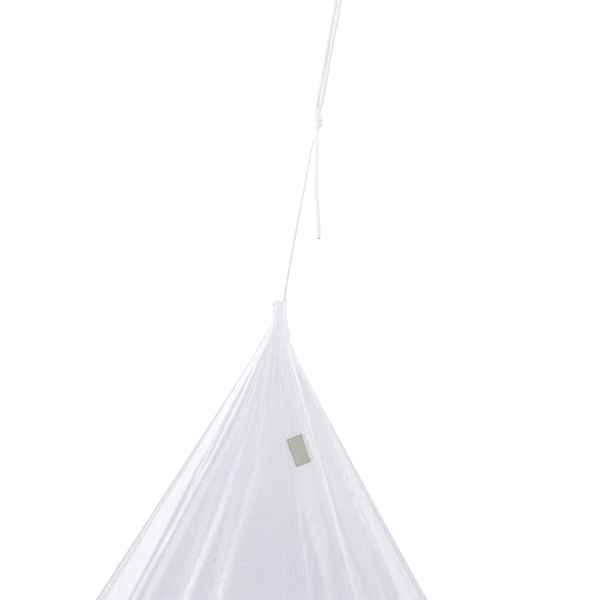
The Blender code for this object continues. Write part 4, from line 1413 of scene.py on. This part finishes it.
def face_outwards(piece):
    """Turn a closed piece's faces to point out."""
    pick(piece)
    bpy.ops.object.mode_set(mode="EDIT")
    bpy.ops.mesh.select_all(action="SELECT")
    bpy.ops.mesh.normals_make_consistent(inside=False)
    bpy.ops.object.mode_set(mode="OBJECT")


def as_points(table):
    """A table of places in mm as points."""
    return [Vector([value * MM for value in row]) for row in table]


class CANOPY_OT_cords(bpy.types.Operator):
    """Run the plaited cord: the loop over the hook, the taut fall and the free end"""

    bl_idname = "canopy.cords"
    bl_label = "Cords"

    def execute(self, context):
        settings = context.scene.canopy_cord
        braid = once(cord_material, settings)
        lay = settings.plait_lay
        loop, path, length = add_cord("loop_cord", loop_route(), CORD_DIAMETER, lay, braid,
                                      LOOP_GREY)
        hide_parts("cord_loop")
        thin, path, length = add_cord("thin_cord", as_points(HANGING_CORD), TAUT_CORD_DIAMETER,
                                      lay * TAUT_LAY, braid, TAUT_GREY, sides=TAUT_CORD_SIDES)
        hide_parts("hanging_cord")
        tail, path, length = add_cord("tail_cord", as_points(TAIL), TAIL_DIAMETER, lay, braid,
                                      TAIL_GREY, tip=TIP_LENGTH)
        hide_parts("cord_tail")
        return {"FINISHED"}


class CANOPY_OT_knot(bpy.types.Operator):
    """Tie the knot: one strand wraps twice round the other"""

    bl_idname = "canopy.knot"
    bl_label = "Knot"

    def execute(self, context):
        settings = context.scene.canopy_cord
        braid = once(cord_material, settings)
        wrapping, _, _ = (
            add_cord(name, as_points(strand), diameter, settings.plait_lay, braid, KNOT_GREY,
                     spacing=KNOT_SPACING)[0]
            for name, strand, diameter in (("knot_wraps", WRAPPING_STRAND, KNOT_STRAND),
                                           ("knot_core", STRAIGHT_STRAND, KNOT_STRAND),
                                           ("knot_heart", HEART, KNOT_HEART)))
        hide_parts("cord_knot")
        return {"FINISHED"}


# ---------------------------------------------------------------- studio


def rays_past_cloth(tree):
    """1 for what is looked at and 1 for what is looked at through the holes of the net."""
    ray = add_node(tree, "ShaderNodeLightPath")
    past_cloth = maths(tree, "GREATER_THAN", ray.outputs["Transparent Depth"], 0.5)
    return ray.outputs["Is Camera Ray"], past_cloth


def add_world(settings):
    """White round the object, a light grey behind the net's holes, and soft light all round."""
    world = bpy.data.worlds.new("studio")
    world.use_nodes = True
    bpy.context.scene.world = world
    tree = world.node_tree
    tree.nodes.clear()
    camera_ray, past_cloth = rays_past_cloth(tree)
    seen = mix_colours(tree, past_cloth, (BACKDROP_WHITE,) * 3, settings.veil_colour)
    colour = mix_colours(tree, camera_ray, (settings.ambient,) * 3, seen)
    back = add_node(tree, "ShaderNodeBackground", {}, {"Color": colour})
    finish_tree(tree, back, "ShaderNodeOutputWorld")


def add_softbox(name, azimuth, elevation, power):
    """A square soft light that faces the middle of the view. Azimuth 0 is the front."""
    middle = Vector((VIEW_CENTRE[0], 0.0, VIEW_CENTRE[1]))
    turn, rise = math.radians(azimuth), math.radians(elevation)
    away = Vector((math.sin(turn) * math.cos(rise), -math.cos(turn) * math.cos(rise),
                   math.sin(rise)))
    bpy.ops.object.light_add(type="AREA", location=middle + SOFTBOX_DISTANCE * away)
    light = bpy.context.active_object
    light.name = name
    light.rotation_euler = (-away).to_track_quat("-Z", "Y").to_euler()
    light.data.shape = "SQUARE"
    light.data.size = SOFTBOX_SIZE
    light.data.energy = power
    light.visible_camera = False


def floor_material(settings):
    """Pale matt floor, greyer where it is seen through the net."""
    material, tree = new_material("floor")
    place = add_node(tree, "ShaderNodeTexCoord").outputs["Object"]
    grain = add_node(tree, "ShaderNodeTexNoise", {},
                     {"Scale": 6.0, "Detail": 5.0, "Vector": place})
    rough = add_node(tree, "ShaderNodeMapRange", {},
                     {"To Min": 0.62, "To Max": 0.78, "Value": grain.outputs["Fac"]})
    veiled = maths(tree, "MULTIPLY", *rays_past_cloth(tree))
    colour = mix_colours(tree, veiled, settings.floor_colour, settings.floor_veil_colour)
    finish_tree(tree, add_node(tree, "ShaderNodeBsdfPrincipled", {}, {
        "Roughness": rough.outputs[0], "Base Color": colour}))
    return material


class CANOPY_OT_studio(bpy.types.Operator):
    """Set the level camera, the soft lights, the white surround and the pale floor"""

    bl_idname = "canopy.studio"
    bl_label = "Studio"

    def execute(self, context):
        settings = context.scene.canopy_studio
        scene = context.scene
        bpy.ops.object.camera_add(
            location=(VIEW_CENTRE[0], -CAMERA_DISTANCE, VIEW_CENTRE[1]),
            rotation=(math.pi / 2, 0.0, 0.0))
        camera = context.active_object
        camera.name = "camera"
        camera.data.sensor_width = SENSOR
        camera.data.lens = SENSOR * CAMERA_DISTANCE / VIEW_WIDTH
        camera.data.clip_end = VIEW_END
        scene.camera = camera
        add_world(settings)
        for name, azimuth, elevation, power in SOFTBOXES:
            add_softbox(name, azimuth, elevation, getattr(settings, power))
        low, _ = CAD_BOX
        bpy.ops.mesh.primitive_circle_add(
            vertices=FLOOR_SIDES, radius=FLOOR_RADIUS, fill_type="NGON",
            location=(NECK_TOP.x, 0.0, low.z - FLOOR_CLEARANCE))
        floor = context.active_object
        floor.name = "floor"
        bpy.ops.object.transform_apply(location=True, rotation=True, scale=True)
        floor.data.materials.append(floor_material(settings))
        scene.view_settings.view_transform = "Standard"
        scene.cycles.transparent_max_bounces = NET_LAYERS_SEEN
        return {"FINISHED"}


# ---------------------------------------------------------------- panel and run


class CANOPY_PT_pieces(bpy.types.Panel):
    bl_idname = "CANOPY_PT_pieces"
    bl_label = "Net canopy"
    bl_space_type = "VIEW_3D"
    bl_region_type = "UI"
    bl_category = "Net canopy"

    def draw(self, context):
        groups = (
            ("canopy_net", ("canopy.net", "canopy.sewing")),
            ("canopy_label", ("canopy.label",)),
            ("canopy_cord", ("canopy.cords", "canopy.knot")),
            ("canopy_studio", ("canopy.studio",)),
        )
        for name, operators in groups:
            box = self.layout.box()
            settings = getattr(context.scene, name)
            for prop in settings.__annotations__:
                box.prop(settings, prop)
            for operator in operators:
                box.operator(operator)


SETTINGS = {
    "canopy_net": CanopyNetSettings,
    "canopy_label": CanopyLabelSettings,
    "canopy_cord": CanopyCordSettings,
    "canopy_studio": CanopyStudioSettings,
}
CLASSES = (
    *SETTINGS.values(),
    CANOPY_OT_studio,
    CANOPY_OT_cords,
    CANOPY_OT_knot,
    CANOPY_OT_net,
    CANOPY_OT_sewing,
    CANOPY_OT_label,
    CANOPY_PT_pieces,
)


def register():
    for item in CLASSES:
        bpy.utils.register_class(item)
    for name, group in SETTINGS.items():
        setattr(bpy.types.Scene, name, bpy.props.PointerProperty(type=group))


def unregister():
    for name in SETTINGS:
        delattr(bpy.types.Scene, name)
    for item in reversed(CLASSES):
        bpy.utils.unregister_class(item)


def main():
    register()
    bpy.ops.canopy.studio()
    bpy.ops.canopy.knot()
    bpy.ops.canopy.cords()
    bpy.ops.canopy.net()
    bpy.ops.canopy.sewing()
    bpy.ops.canopy.label()


if __name__ == "__main__":
    main()
